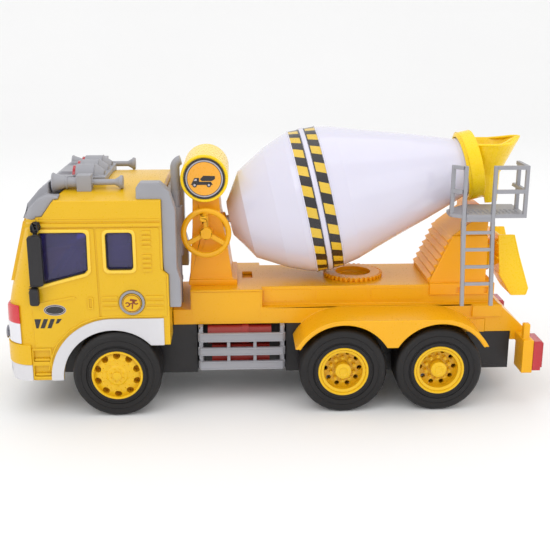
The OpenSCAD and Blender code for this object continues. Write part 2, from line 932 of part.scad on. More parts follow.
// Hopper outline grown by d: a round throat under a funnel with a pointed lip
module hopper_form(d) {
    hull() {
        translate([106.6, 0, 97.6 - (d < 0 ? 1 : 0)])
            cylinder(r = 8.6 + d, h = 1, $fn = 32);
        translate([106.6, 0, 112])
            cylinder(r = 9 + d, h = 1, $fn = 32);
    }
    hull() {
        translate([106.6, 0, 112])
            cylinder(r = 9 + d, h = 1, $fn = 32);
        translate([108, 0, 127 + (d < 0 ? 1.5 : 0)])
            cylinder(r = 14.4 + d, h = 0.8, $fn = 32);
        translate([122.6 + d, 0, 129.4 + (d < 0 ? 1.5 : 0)])
            cylinder(r = 2.2, h = 1, $fn = 16);
    }
}

module hopper() {
    color(yellow)
        difference() {
            hopper_form(0);
            hopper_form(-1.3);
            on_drum_axis()
                translate([0, 0, -40])
                    cylinder(r = 60, h = 40 + collar_s1);
        }
}

chute_side = [[114.6, 81], [122.8, 81], [126.2, 69.2], [132.2, 52], [131.2, 48.4], [123.4, 48.4], [116.4, 59.6]];
chute_hollow = [[115.8, 83], [130, 83], [140, 46], [123.9, 46], [124.2, 49.2], [117.7, 60.2]];

module chute() {
    color(yellow)
        difference() {
            union() {
                side_prism(10)
                    polygon(chute_side);
                translate([pivot_x, 0, 62.8])
                    cylinder(r = 2.9, h = 11.4);
                mid_block(pivot_x, 116.6, 2, 62.8, 74.2);
            }
            side_prism(8.8)
                polygon(chute_hollow);
            translate([pivot_x, 0, 60])
                cylinder(r = pivot_r + run_gap, h = 18);
        }
}

// ---- Platform and ladder ----
module bar(p, q) {
    t = bar_t / 2;
    block(min(p[0], q[0]) - t, max(p[0], q[0]) + t, min(p[1], q[1]) - t, max(p[1], q[1]) + t,
        min(p[2], q[2]) - t, max(p[2], q[2]) + t);
}

rail_y = platform_y0 + bar_t / 2;
end_x = 119.6;
corner = [84.8, -29.6];

module corner_rail(z) {
    dx = corner[0] - stile_x[0] + 1;
    dy = corner[1] - rail_y;
    translate([stile_x[0] - 1, rail_y, z - bar_t / 2])
        rotate([0, 0, atan2(dy, dx)])
            translate([0, -bar_t / 2, 0])
                cube([sqrt(dx * dx + dy * dy), bar_t, bar_t]);
}

module platform() {
    floor_z = ped_top_z;
    stile_half = bar_t / 2;
    color(grey)
        difference() {
            union() {
                translate([0, 0, floor_z])
                    linear_extrude(height = platform_t)
                        polygon([[84, -29], [84.6, -31], [89, platform_y0], [120.5, platform_y0], [120.5, platform_y1],
                            [96, platform_y1], [84, -22]]);
                for (z = [rail_z, mid_rail_z]) {
                    bar([stile_x[1] + 1.4, rail_y, z], [end_x, rail_y, z]);
                    bar([end_x, rail_y, z], [end_x, platform_y1 + 1, z]);
                    corner_rail(z);
                }
                bar([end_x, rail_y, floor_z + 1], [end_x, rail_y, rail_z]);
                bar([end_x, -20, floor_z + 1], [end_x, -20, rail_z]);
                bar([corner[0], corner[1], floor_z + 1], [corner[0], corner[1], rail_z]);
            }
            for (x = stile_x)
                block(x - stile_half, x + stile_half, platform_y0 - 1, platform_y0 + bar_t, 40, 130);
            on_drum_axis()
                cylinder(r = collar_r, h = 120);
        }
}

module ladder() {
    y1 = platform_y0 + bar_t;
    drop = (ped_top_z - 53.6) / cos(ladder_lean);
    color(grey) {
        for (x = stile_x)
            block(x - bar_t / 2, x + bar_t / 2, platform_y0, y1, ped_top_z - 1.8, rail_z + bar_t / 2);
        block(stile_x[0], stile_x[1], platform_y0 + 0.2, y1 - 0.2, ped_top_z - 1.8, ped_top_z);
        translate([0, platform_y0, ped_top_z - 1])
            rotate([-ladder_lean, 0, 0]) {
                for (x = stile_x)
                    block(x - bar_t / 2, x + bar_t / 2, 0, bar_t, -drop, 0);
                for (z = rung_drop)
                    block(stile_x[0], stile_x[1], 0.2, bar_t - 0.2, -z - 0.8, -z + 0.8);
            }
    }
}

// ---- Side guards and tanks ----
guard_x0 = -39.6;
guard_x1 = 3.6;
guard_bars = [[17.6, 21.8], [25.2, 29], [32.4, 36.6]];

module side_guard(side) {
    mirror([0, side < 0 ? 1 : 0, 0])
        color(grey) {
            for (b = guard_bars) {
                block(guard_x0 + 1.5, guard_x1 - 1.5, 28.8, 30.8, b[0], b[1]);
                for (x = [guard_x0 + 1.5, guard_x1 - 1.5])
                    translate([x, 29.3, b[0]])
                        cylinder(r = 1.5, h = b[1] - b[0]);
            }
            for (x = [guard_x0, guard_x1 - 2.2])
                block(x, x + 2.2, waist_half_w, 29.4, 17.6, skirt_z);
            for (x = [-24.6, -11.4])
                block(x - 0.8, x + 0.8, 28.8, 30.4, 18, 36);
        }
}

module side_tanks() {
    y = 23.1;
    color("#8c1a1c")
        both_sides()
            difference() {
                union() {
                    rod_x(y, 34.4, -35, -17.6, 5);
                    rod_x(y, 34.4, -17.7, -14.4, 5.5);
                    rod_x(y, 35, -14.5, -3, 4);
                    block(-33, -4, waist_half_w, 27.6, 19, 29.6);
                }
                mid_block(-50, 10, waist_half_w, 0, 60);
            }
}

// ---- Rear bumper and lamps ----
module rear_bumper() {
    color(yellow) {
        difference() {
            union() {
                mid_block(122, bumper_x, 40, 29.2, 34);
                both_sides()
                    block(122, bumper_x, 27, 40, 16.6, 29.2 + eps);
            }
            mid_block(110, 126, skirt_half_w, 28, 40);
        }
        both_sides()
            block(122.6, 125.8, 34, 37.4, 34 - eps, 41.8);
    }
}

module tail_lamps() {
    color(red)
        both_sides() {
            block(bumper_x, 131.4, 28, 40.2, 18.2, 33.6);
            block(131.4 - eps, 132.5, 29.2, 39.2, 19.4, 32.4);
        }
}

// ---- Parts inside the chassis ----
module battery_door() {
    top = chassis_z + floor_t;
    color(black) {
        mid_block(-28, -1, 9, chassis_z, top);
        for (x = [-30, -2.5])
            mid_block(x, x + 3.5, 4, top, top + 1);
    }
}

cell_r = 5.8;
cell_t = 5.4;

module button_cells() {
    color(steel)
        for (k = [0 : 2])
            rod_x(0, chassis_z + floor_t + cell_r, -24 + k * (cell_t + 0.1), -24 + k * (cell_t + 0.1) + cell_t, cell_r);
}

module body_screws() {
    color(steel)
        for (p = screw_at)
            translate([p[0], p[1], chassis_z + 0.2]) {
                difference() {
                    cylinder(r = screw_head_r, h = screw_head_h - 0.2);
                    for (a = [0, 90])
                        rotate([0, 0, a])
                            translate([-1.5, -0.3, -1])
                                cube([3, 0.6, 1.6]);
                }
                cylinder(r = screw_r, h = boss_h - 0.4);
            }
}

module friction_housing() {
    x0 = mid_axle_x - 5;
    x1 = fly_x + 5;
    z0 = chassis_z + floor_t;
    z1 = idler_z + 7.5;
    color("#d9d4c4")
        difference() {
            union() {
                for (y = [-plate_y - plate_t, plate_y])
                    block(x0, x1, y, y + plate_t, z0, z1);
                for (x = [x0, x1 - 2])
                    block(x, x + 2, -plate_y - eps, plate_y + eps, z1 - 2, z1);
            }
            rod_y(mid_axle_x, wheel_r, -20, 20, axle_r + run_gap);
            rod_y(idler_x, idler_z, -20, 20, gear_shaft_r + run_gap);
            rod_y(fly_x, fly_z, -20, 20, gear_shaft_r + run_gap);
        }
}

module axle_gear() {
    color(white)
        difference() {
            gear_y(mid_axle_x, wheel_r, -5.4, -1.6, drive_mod, axle_teeth, idler_angle);
            rod_y(mid_axle_x, wheel_r, -20, 20, axle_r);
        }
}

module idler_gear() {
    color(white) {
        gear_y(idler_x, idler_z, -5.5, -0.4, drive_mod, pinion_teeth, idler_angle + 180 + 180 / pinion_teeth);
        gear_y(idler_x, idler_z, -0.5, 2, drive_mod, idler_teeth, 0);
        rod_y(idler_x, idler_z, -plate_y - plate_t, plate_y + plate_t, gear_shaft_r);
    }
}

module flywheel() {
    color(steel) {
        gear_y(fly_x, fly_z, -0.8, 2.3, drive_mod, pinion_teeth, 180 + 180 / pinion_teeth);
        rod_y(fly_x, fly_z, -plate_y - plate_t, 12.4, gear_shaft_r);
        rod_y(fly_x, fly_z, plate_y + plate_t + 0.5, 12, 7.2);
    }
}

// ---- Wheels ----
module axle(x) {
    color(steel)
        rod_y(x, wheel_r, -axle_half, axle_half, axle_r);
}

// Wheel frame: +Z points outwards from the truck, with z = 0 at the tyre's outer face
module on_wheel(x, side) {
    translate([x, side * track_half, wheel_r])
        rotate([side > 0 ? -90 : 90, 0, 0])
            children();
}

module tyre(x, side) {
    shoulder = 2.4;
    color(black)
        on_wheel(x, side)
            rotate_extrude($fn = 96)
                difference() {
                    union() {
                        translate([rim_r, -tyre_w])
                            square([wheel_r - rim_r - shoulder, tyre_w]);
                        translate([rim_r + 3, -tyre_w + shoulder])
                            square([wheel_r - rim_r - 3, tyre_w - 2 * shoulder]);
                        for (z = [-shoulder, shoulder - tyre_w])
                            translate([wheel_r - shoulder, z])
                                circle(r = shoulder);
                    }
                    translate([rim_r + 2.2, 0])
                        circle(r = 0.5);
                }
}

// Front rim: a nearly flat face with notches at its edge
module front_rim(x, side) {
    hole_ring = rim_r - 2.5;
    color(yellow)
        on_wheel(x, side)
            difference() {
                union() {
                    translate([0, 0, -tyre_w])
                        cylinder(r = rim_r, h = tyre_w - 0.4);
                    translate([0, 0, -0.5])
                        cylinder(r1 = 5.4, r2 = 4.4, h = 0.9);
                }
                translate([0, 0, -1.4])
                    difference() {
                        cylinder(r = rim_r - 0.8, h = 3);
                        cylinder(r1 = rim_r - 1.6, r2 = 6.6, h = 1.6);
                        cylinder(r = 5.4, h = 4);
                    }
                for (k = [0 : rim_holes - 1])
                    rotate([0, 0, k * 360 / rim_holes + 90])
                        translate([hole_ring, 0, -6])
                            cylinder(r = 1.75, h = 10);
                translate([0, 0, -tyre_w - 1])
                    cylinder(r = axle_r, h = tyre_w - 1);
                translate([0, 0, -tyre_w - 1])
                    difference() {
                        cylinder(r = rim_r - 1.6, h = tyre_w - 6);
                        cylinder(r = 4, h = tyre_w);
                    }
            }
}

// Rear rim: a deep dish with a proud hub, wheel nuts and a ring of holes
module dish_rim(x, side) {
    depth = 5.5;
    color(yellow)
        on_wheel(x, side)
            difference() {
                union() {
                    difference() {
                        translate([0, 0, -tyre_w])
                            cylinder(r = rim_r, h = tyre_w - 0.2);
                        translate([0, 0, -depth])
                            cylinder(r1 = rim_r - 2.4, r2 = rim_r - 1, h = depth + 1);
                    }
                    translate([0, 0, -depth - eps])
                        cylinder(r = 3.9, h = depth - 0.6);
                    for (k = [0 : rim_holes - 1])
                        rotate([0, 0, (k + 0.5) * 360 / rim_holes])
                            translate([5.9, 0, -depth - eps])
                                cylinder(r = 0.9, h = 2.2);
                }
                for (k = [0 : rim_holes - 1])
                    rotate([0, 0, k * 360 / rim_holes])
                        translate([8.4, 0, -depth - 4])
                            cylinder(r = 1.2, h = 6);
                translate([0, 0, -tyre_w - 1])
                    cylinder(r = axle_r, h = tyre_w - 1);
                translate([0, 0, -tyre_w - 1])
                    difference() {
                        cylinder(r = rim_r - 1.6, h = tyre_w - depth - 1);
                        cylinder(r = 4, h = tyre_w);
                    }
            }
}

chassis_tub();
body_deck();
cab_shell();
arch_trims();
front_bumper_trim();
window_insert();
cab_interior();
roof_visor();
roof_light_bar();
beacon_lenses();
air_horns();
cab_rear_frame();
exhaust_stack();
door_mirrors();
headlamps();
button_bezel();
sound_button();
front_post();
sign_barrel();
deck_ratchet_ring();
rear_pedestal();
rear_collar();
hopper();
platform();
ladder();
side_guard(-1);  // side_guard_left
side_guard(1);  // side_guard_right
side_tanks();
rear_bumper();
tail_lamps();
battery_door();
button_cells();
sound_board();
speaker();
body_screws();
friction_housing();
idler_gear();
flywheel();
axle_gear();
axle(front_axle_x);  // front_axle
front_rim(front_axle_x, -1);  // front_rim_left
front_rim(front_axle_x, 1);  // front_rim_right
tyre(front_axle_x, -1);  // front_tyre_left
tyre(front_axle_x, 1);  // front_tyre_right
axle(mid_axle_x);  // mid_axle
dish_rim(mid_axle_x, -1);  // mid_rim_left
dish_rim(mid_axle_x, 1);  // mid_rim_right
tyre(mid_axle_x, -1);  // mid_tyre_left
tyre(mid_axle_x, 1);  // mid_tyre_right
axle(rear_axle_x);  // rear_axle
dish_rim(rear_axle_x, -1);  // rear_rim_left
dish_rim(rear_axle_x, 1);  // rear_rim_right
tyre(rear_axle_x, -1);  // rear_tyre_left
tyre(rear_axle_x, 1);  // rear_tyre_right
drum_shell();
drum_cap();
drum_gear();
handwheel();
handwheel_gear();
chute();
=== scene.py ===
import bpy, bmesh, json, math
from mathutils import Vector, Matrix


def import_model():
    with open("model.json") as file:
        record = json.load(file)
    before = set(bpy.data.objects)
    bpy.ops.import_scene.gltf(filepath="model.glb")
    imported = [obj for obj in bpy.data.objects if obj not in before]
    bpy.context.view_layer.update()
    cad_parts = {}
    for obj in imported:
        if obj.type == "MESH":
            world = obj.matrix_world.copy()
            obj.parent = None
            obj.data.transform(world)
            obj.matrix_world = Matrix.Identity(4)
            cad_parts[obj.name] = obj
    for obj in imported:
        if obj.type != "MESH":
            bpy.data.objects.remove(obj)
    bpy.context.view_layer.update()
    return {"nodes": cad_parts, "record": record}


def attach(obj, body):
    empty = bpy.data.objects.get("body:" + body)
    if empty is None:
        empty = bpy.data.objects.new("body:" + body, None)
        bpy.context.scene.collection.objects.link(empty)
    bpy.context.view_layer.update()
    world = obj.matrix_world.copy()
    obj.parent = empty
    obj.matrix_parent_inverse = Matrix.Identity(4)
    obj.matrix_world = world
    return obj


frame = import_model()
N = frame["nodes"]
MM = 0.001

# ------------------------------------------------------------------ places in mm, as in part.scad
SIDES = (-1, 1)  # -1 is the near side with the ladder, 1 the far side
CAB_HALF_W = 43.0
DECK_HALF_W = 20.6
SKIRT_HALF_W = 25.4
MUDGUARD_HALF_W, MUDGUARD_R = 48, 24.5
BADGE_X, BADGE_Z = -70.2, 57.7
HEADLAMP_TOP = 56.5
SIGN_X, SIGN_Z = -35.4, 113.0
SIGN_SEAT = 19.5  # floor of the recess in the barrel's end
DRUM_TILT = math.radians(12.3)
DRUM_AXIS = Vector((math.cos(DRUM_TILT), 0, math.sin(DRUM_TILT)))
DRUM_ORIGIN = Vector((14, 0, 97))
AXLE_X = {"front": -78.6, "mid": 31.6, "rear": 78.9}
AXLE_Z = 21.5
TRACK_HALF = 46  # middle of the truck to the outer face of a tyre
HORN_Y, HORN_Z = 28, 113.2
HOPPER_X, HOPPER_R = 108, 14.4


def side_tag(side):
    return "left" if side < 0 else "right"


# ------------------------------------------------------------------ material helpers
CLOUD_SCALE = 38.0
GRAIN_SCALE = 900.0
STREAK_SCALE = (60.0, 420.0, 260.0)
STREAK_TURN = (0.3, 0.5, 0.8)
MIDDLE = (0.3, 0.7)  # where most values of a noise lie
WORN = (0.6, 0.78)  # only its peaks
PALE_KEEP, PALE_LIFT = 0.75, 0.22
SMOOTHER, ROUGHER = 0.07, 0.09


def new_material(name):
    mat = bpy.data.materials.new(name)
    mat.use_nodes = True
    tree = mat.node_tree
    for node in list(tree.nodes):
        tree.nodes.remove(node)
    out = tree.nodes.new("ShaderNodeOutputMaterial")
    shader = tree.nodes.new("ShaderNodeBsdfPrincipled")
    tree.links.new(shader.outputs[0], out.inputs[0])
    return mat, tree, shader


def shader_of(mat):
    return next(n for n in mat.node_tree.nodes if n.type == "BSDF_PRINCIPLED")


def noise(tree, coord, scale, detail=4.0, rough=0.55):
    node = tree.nodes.new("ShaderNodeTexNoise")
    node.inputs["Scale"].default_value = scale
    node.inputs["Detail"].default_value = detail
    node.inputs["Roughness"].default_value = rough
    tree.links.new(coord, node.inputs["Vector"])
    return node


def ramp(tree, source, from_lo, from_hi, to_lo, to_hi):
    node = tree.nodes.new("ShaderNodeMapRange")
    node.inputs["From Min"].default_value = from_lo
    node.inputs["From Max"].default_value = from_hi
    node.inputs["To Min"].default_value = to_lo
    node.inputs["To Max"].default_value = to_hi
    tree.links.new(source, node.inputs["Value"])
    return node.outputs["Result"]


def mix_colours(tree, amount, first, second):
    """Mixes two colours, each a tuple or a socket, by the amount on a socket."""
    node = tree.nodes.new("ShaderNodeMix")
    node.data_type = "RGBA"
    for socket, colour in ((node.inputs[6], first), (node.inputs[7], second)):
        if isinstance(colour, (tuple, list)):
            socket.default_value = (colour[0], colour[1], colour[2], 1.0)
        else:
            tree.links.new(colour, socket)
    tree.links.new(amount, node.inputs[0])
    return node.outputs[2]


def plastic(name, rgb, rough=0.3, dark=0.88, light=1.05, grain=0.02, coat=0.0, spec=0.5, sss=0.0,
            scuff=0.06, metal=0.0, scale=1.0):
    """Moulded plastic: cloudy colour, uneven gloss, fine grain and faint rubbed streaks."""
    mat, tree, shader = new_material(name)
    place = tree.nodes.new("ShaderNodeTexCoord").outputs["Object"]
    cloud = noise(tree, place, CLOUD_SCALE * scale, 3.0)
    fine = noise(tree, place, GRAIN_SCALE * scale, 3.0, 0.6)
    stretch = tree.nodes.new("ShaderNodeMapping")
    stretch.inputs["Scale"].default_value = STREAK_SCALE
    stretch.inputs["Rotation"].default_value = STREAK_TURN
    tree.links.new(place, stretch.inputs["Vector"])
    streak = noise(tree, stretch.outputs["Vector"], 1.0, 5.0, 0.7)
    darker = tuple(c * dark for c in rgb)
    lighter = tuple(min(1.0, c * light) for c in rgb)
    pale = tuple(min(1.0, c * PALE_KEEP + PALE_LIFT) for c in rgb)
    cloudy = mix_colours(tree, ramp(tree, cloud.outputs["Fac"], *MIDDLE, 0.0, 1.0), darker, lighter)
    worn = ramp(tree, streak.outputs["Fac"], *WORN, 0.0, scuff * 2.0)
    tree.links.new(mix_colours(tree, worn, cloudy, pale), shader.inputs["Base Color"])
    gloss = ramp(tree, fine.outputs["Fac"], *MIDDLE, max(0.03, rough - SMOOTHER), rough + ROUGHER)
    tree.links.new(gloss, shader.inputs["Roughness"])
    shader.inputs["Metallic"].default_value = metal
    shader.inputs["Specular IOR Level"].default_value = spec
    shader.inputs["Coat Weight"].default_value = coat
    shader.inputs["Coat Roughness"].default_value = 0.08
    if sss:
        shader.inputs["Subsurface Weight"].default_value = sss
        shader.inputs["Subsurface Radius"].default_value = (0.004, 0.0025, 0.0012)
        shader.inputs["Subsurface Scale"].default_value = 1.0
    height = tree.nodes.new("ShaderNodeMath")
    height.operation = "ADD"
    tree.links.new(fine.outputs["Fac"], height.inputs[0])
    tree.links.new(cloud.outputs["Fac"], height.inputs[1])
    bump = tree.nodes.new("ShaderNodeBump")
    bump.inputs["Strength"].default_value = 0.35
    bump.inputs["Distance"].default_value = grain * MM
    tree.links.new(height.outputs[0], bump.inputs["Height"])
    tree.links.new(bump.outputs["Normal"], shader.inputs["Normal"])
    return mat


def srgb(red, green, blue):
    """Linear colour from the 0 to 255 values of a screen colour."""
    def linear(value):
        value /= 255.0
        return value / 12.92 if value <= 0.04045 else ((value + 0.055) / 1.055) ** 2.4
    return (linear(red), linear(green), linear(blue))


def two_tone(name, low, high, seam, up_axis):
    """One glossy moulding whose colour changes at a height, with a soft seam."""
    half_seam = 0.25
    mat = plastic(name, low, 0.16, 0.94, 1.04, grain=0.008, coat=0.5, scuff=0.02)
    tree = mat.node_tree
    colour = shader_of(mat).inputs["Base Color"]
    lower = colour.links[0].from_socket
    split = tree.nodes.new("ShaderNodeSeparateXYZ")
    tree.links.new(tree.nodes.new("ShaderNodeTexCoord").outputs["Object"], split.inputs[0])
    above = ramp(tree, split.outputs[up_axis], (seam - half_seam) * MM, (seam + half_seam) * MM, 0.0, 1.0)
    tree.links.new(mix_colours(tree, above, lower, high), colour)
    return mat


def up_axis_of(obj, top):
    """Which of the object's own axes points up, told from where its highest point is."""
    highest = max(v.co.z for v in obj.data.vertices)
    return 2 if abs(highest - top * MM) < MM else 1


# ------------------------------------------------------------------ materials
MOULDED = {"grain": 0.004, "spec": 0.4, "scuff": 0.012}
STICKER = {"grain": 0.005, "coat": 0.3}
CAB = plastic("cab_yellow", srgb(228, 180, 14), 0.32, 0.975, 1.015, coat=0.08, sss=0.03, **MOULDED)
BODY = plastic("body_yellow", srgb(240, 174, 8), 0.32, 0.975, 1.015, coat=0.08, sss=0.03, **MOULDED)
AMBER = plastic("amber_plastic", srgb(248, 170, 6), 0.34, 0.975, 1.015, coat=0.06, sss=0.05, **MOULDED)
BRIGHT = plastic("bright_yellow", srgb(255, 212, 8), 0.28, 0.98, 1.01, coat=0.1, sss=0.05, **MOULDED)
RIM = plastic("rim_yellow", srgb(236, 188, 20), 0.32, 0.97, 1.02, coat=0.08, **MOULDED)
GREY = plastic("grey_plastic", srgb(154, 154, 160), 0.42, 0.95, 1.04, grain=0.008, scuff=0.02)
SILVER = plastic("silver_plastic", srgb(214, 213, 217), 0.38, 0.97, 1.02, grain=0.006, metal=0.1, scuff=0.015)
BLACK = plastic("black_plastic", srgb(28, 26, 29), 0.42, 0.88, 1.12, grain=0.01, scuff=0.01)
TYRE = plastic("tyre_black", srgb(24, 22, 23), 0.5, 0.88, 1.12, grain=0.012, spec=0.4, scuff=0.008)
WHITE = plastic("white_plastic", srgb(216, 213, 229), 0.16, 0.985, 1.01, grain=0.004, coat=0.5, sss=0.05,
                scuff=0.015)
RED_LENS = plastic("red_lens", srgb(178, 18, 34), 0.14, 0.8, 1.15, grain=0.01, coat=0.6)
CLEAR_LENS = plastic("clear_lens", srgb(222, 222, 228), 0.15, 0.93, 1.04, grain=0.01, coat=0.6)
SMOKE = plastic("smoke_window", srgb(120, 112, 190), 0.06, 0.9, 1.1, grain=0.004, coat=0.6, scuff=0.01)
shader_of(SMOKE).inputs["Transmission Weight"].default_value = 0.85
shader_of(SMOKE).inputs["IOR"].default_value = 1.3
RED = plastic("red_plastic", srgb(150, 36, 28), 0.32, 0.85, 1.1)
STEEL = plastic("steel", srgb(176, 178, 182), 0.3, 0.85, 1.08, metal=1.0)
NATURAL = plastic("natural_plastic", srgb(224, 218, 198), 0.4, 0.93, 1.03)
GREEN = plastic("board_green", srgb(30, 110, 55), 0.35, 0.85, 1.1)
SPEAKER = plastic("speaker_black", srgb(60, 60, 64), 0.55, 0.85, 1.1)
SLOTS = {"cab_yellow": CAB, "body_yellow": BODY, "amber_plastic": AMBER, "bright_yellow": BRIGHT,
         "rim_yellow": RIM, "grey_plastic": GREY, "silver_plastic": SILVER, "black_plastic": BLACK,
         "tyre_black": TYRE, "white_plastic": WHITE, "red_lens": RED_LENS, "clear_lens": CLEAR_LENS,
         "smoke_window": SMOKE, "red_plastic": RED, "steel": STEEL, "natural_plastic": NATURAL,
         "board_green": GREEN, "speaker_black": SPEAKER}

# Stickers and small pieces that only this scene adds
INK = plastic("sticker_black", srgb(30, 26, 28), 0.3, 0.8, 1.3, **STICKER)
STICKER_YELLOW = plastic("sticker_yellow", srgb(222, 184, 52), 0.3, 0.95, 1.05, **STICKER)
STICKER_ORANGE = plastic("sticker_orange", srgb(246, 172, 38), 0.3, 0.95, 1.05, **STICKER)
STICKER_GREY = plastic("sticker_grey", srgb(186, 182, 190), 0.3, 0.95, 1.05, **STICKER)
STICKER_BROWN = plastic("sticker_brown", srgb(140, 62, 28), 0.35, 0.9, 1.1, grain=0.005)
CHROME = plastic("lamp_reflector", srgb(190, 190, 196), 0.2, 0.9, 1.05, metal=0.6, grain=0.005)
FRAME_YELLOW = plastic("frame_yellow", srgb(246, 204, 60), 0.22, 0.975, 1.015, grain=0.004, coat=0.3,
                       spec=0.5, scuff=0.012)
# Near-black painted shade for the inside of the hollow cab
INSIDE_PAINTED_SHADE = plastic("cab_inside_painted_shade", srgb(34, 32, 38), 0.55, 0.8, 1.2)
MARKER_RED = plastic("marker_red", srgb(196, 30, 44), 0.14, 0.8, 1.15, grain=0.01, coat=0.6)

for row in frame["record"]["subparts"]:
    slots = N[row["node"]].data.materials
    slots.clear()
    slots.append(SLOTS[row["material_slot"]])

# The collar is as bright as the hopper, and each headlamp is clear below its seam and red above
HEADLAMP_SEAM = 47.6
N["rear_collar"].data.materials[0] = BRIGHT
N["headlamps"].data.materials[0] = two_tone("lamp_two_tone", srgb(226, 226, 232), srgb(206, 30, 44),
                                            HEADLAMP_SEAM, up_axis_of(N["headlamps"], HEADLAMP_TOP))


# ------------------------------------------------------------------ rounded edges on the CAD nodes
EDGE_ANGLE = 32


def round_edges(obj, width):
    """Rounds the moulded edges of a CAD node with modifiers only."""
    weld = obj.modifiers.new("weld", "WELD")
    weld.merge_threshold = 2e-6
    bevel = obj.modifiers.new("edge", "BEVEL")
    bevel.width = width * MM
    bevel.segments = 2
    bevel.limit_method = "ANGLE"
    bevel.angle_limit = math.radians(EDGE_ANGLE)
    bevel.use_clamp_overlap = False
    normals = obj.modifiers.new("normals", "WEIGHTED_NORMAL")
    normals.keep_sharp = False
    normals.weight = 80


EDGE_WIDTHS = {
    "cab_shell": 0.35, "body_deck": 0.35, "front_post": 0.5, "rear_pedestal": 0.25, "rear_collar": 0.4,
    "platform": 0.2, "ladder": 0.2, "side_guard_left": 0.25, "side_guard_right": 0.25,
    "cab_rear_frame": 0.5, "roof_visor": 0.7, "headlamps": 0.25, "front_bumper_trim": 0.3,
    "roof_light_bar": 0.3, "air_horns": 0.2, "door_mirrors": 1.0, "chassis_tub": 0.2, "rear_bumper": 0.6,
    "sign_barrel": 0.4, "handwheel": 0.3, "chute": 0.3, "arch_trims": 0.15, "deck_ratchet_ring": 0.15,
}
for node_name, edge_width in EDGE_WIDTHS.items():
    round_edges(N[node_name], edge_width)


# ------------------------------------------------------------------ mesh helpers, in mm
SMOOTH_ANGLE = 38


def turn(k, count):
    """The angle of step k when a full turn has count steps."""
    return 2 * math.pi * k / count


def along(axis):
    """Rotation that takes the Z axis to the given axis."""
    return Vector(axis).to_track_quat("Z", "Y").to_matrix().to_4x4()


def rect(x0, z0, x1, z1):
    return [(x0, z0), (x1, z0), (x1, z1), (x0, z1)]


def ellipse(x, z, rx, rz, count=48):
    return [(x + rx * math.cos(turn(k, count)), z + rz * math.sin(turn(k, count))) for k in range(count)]


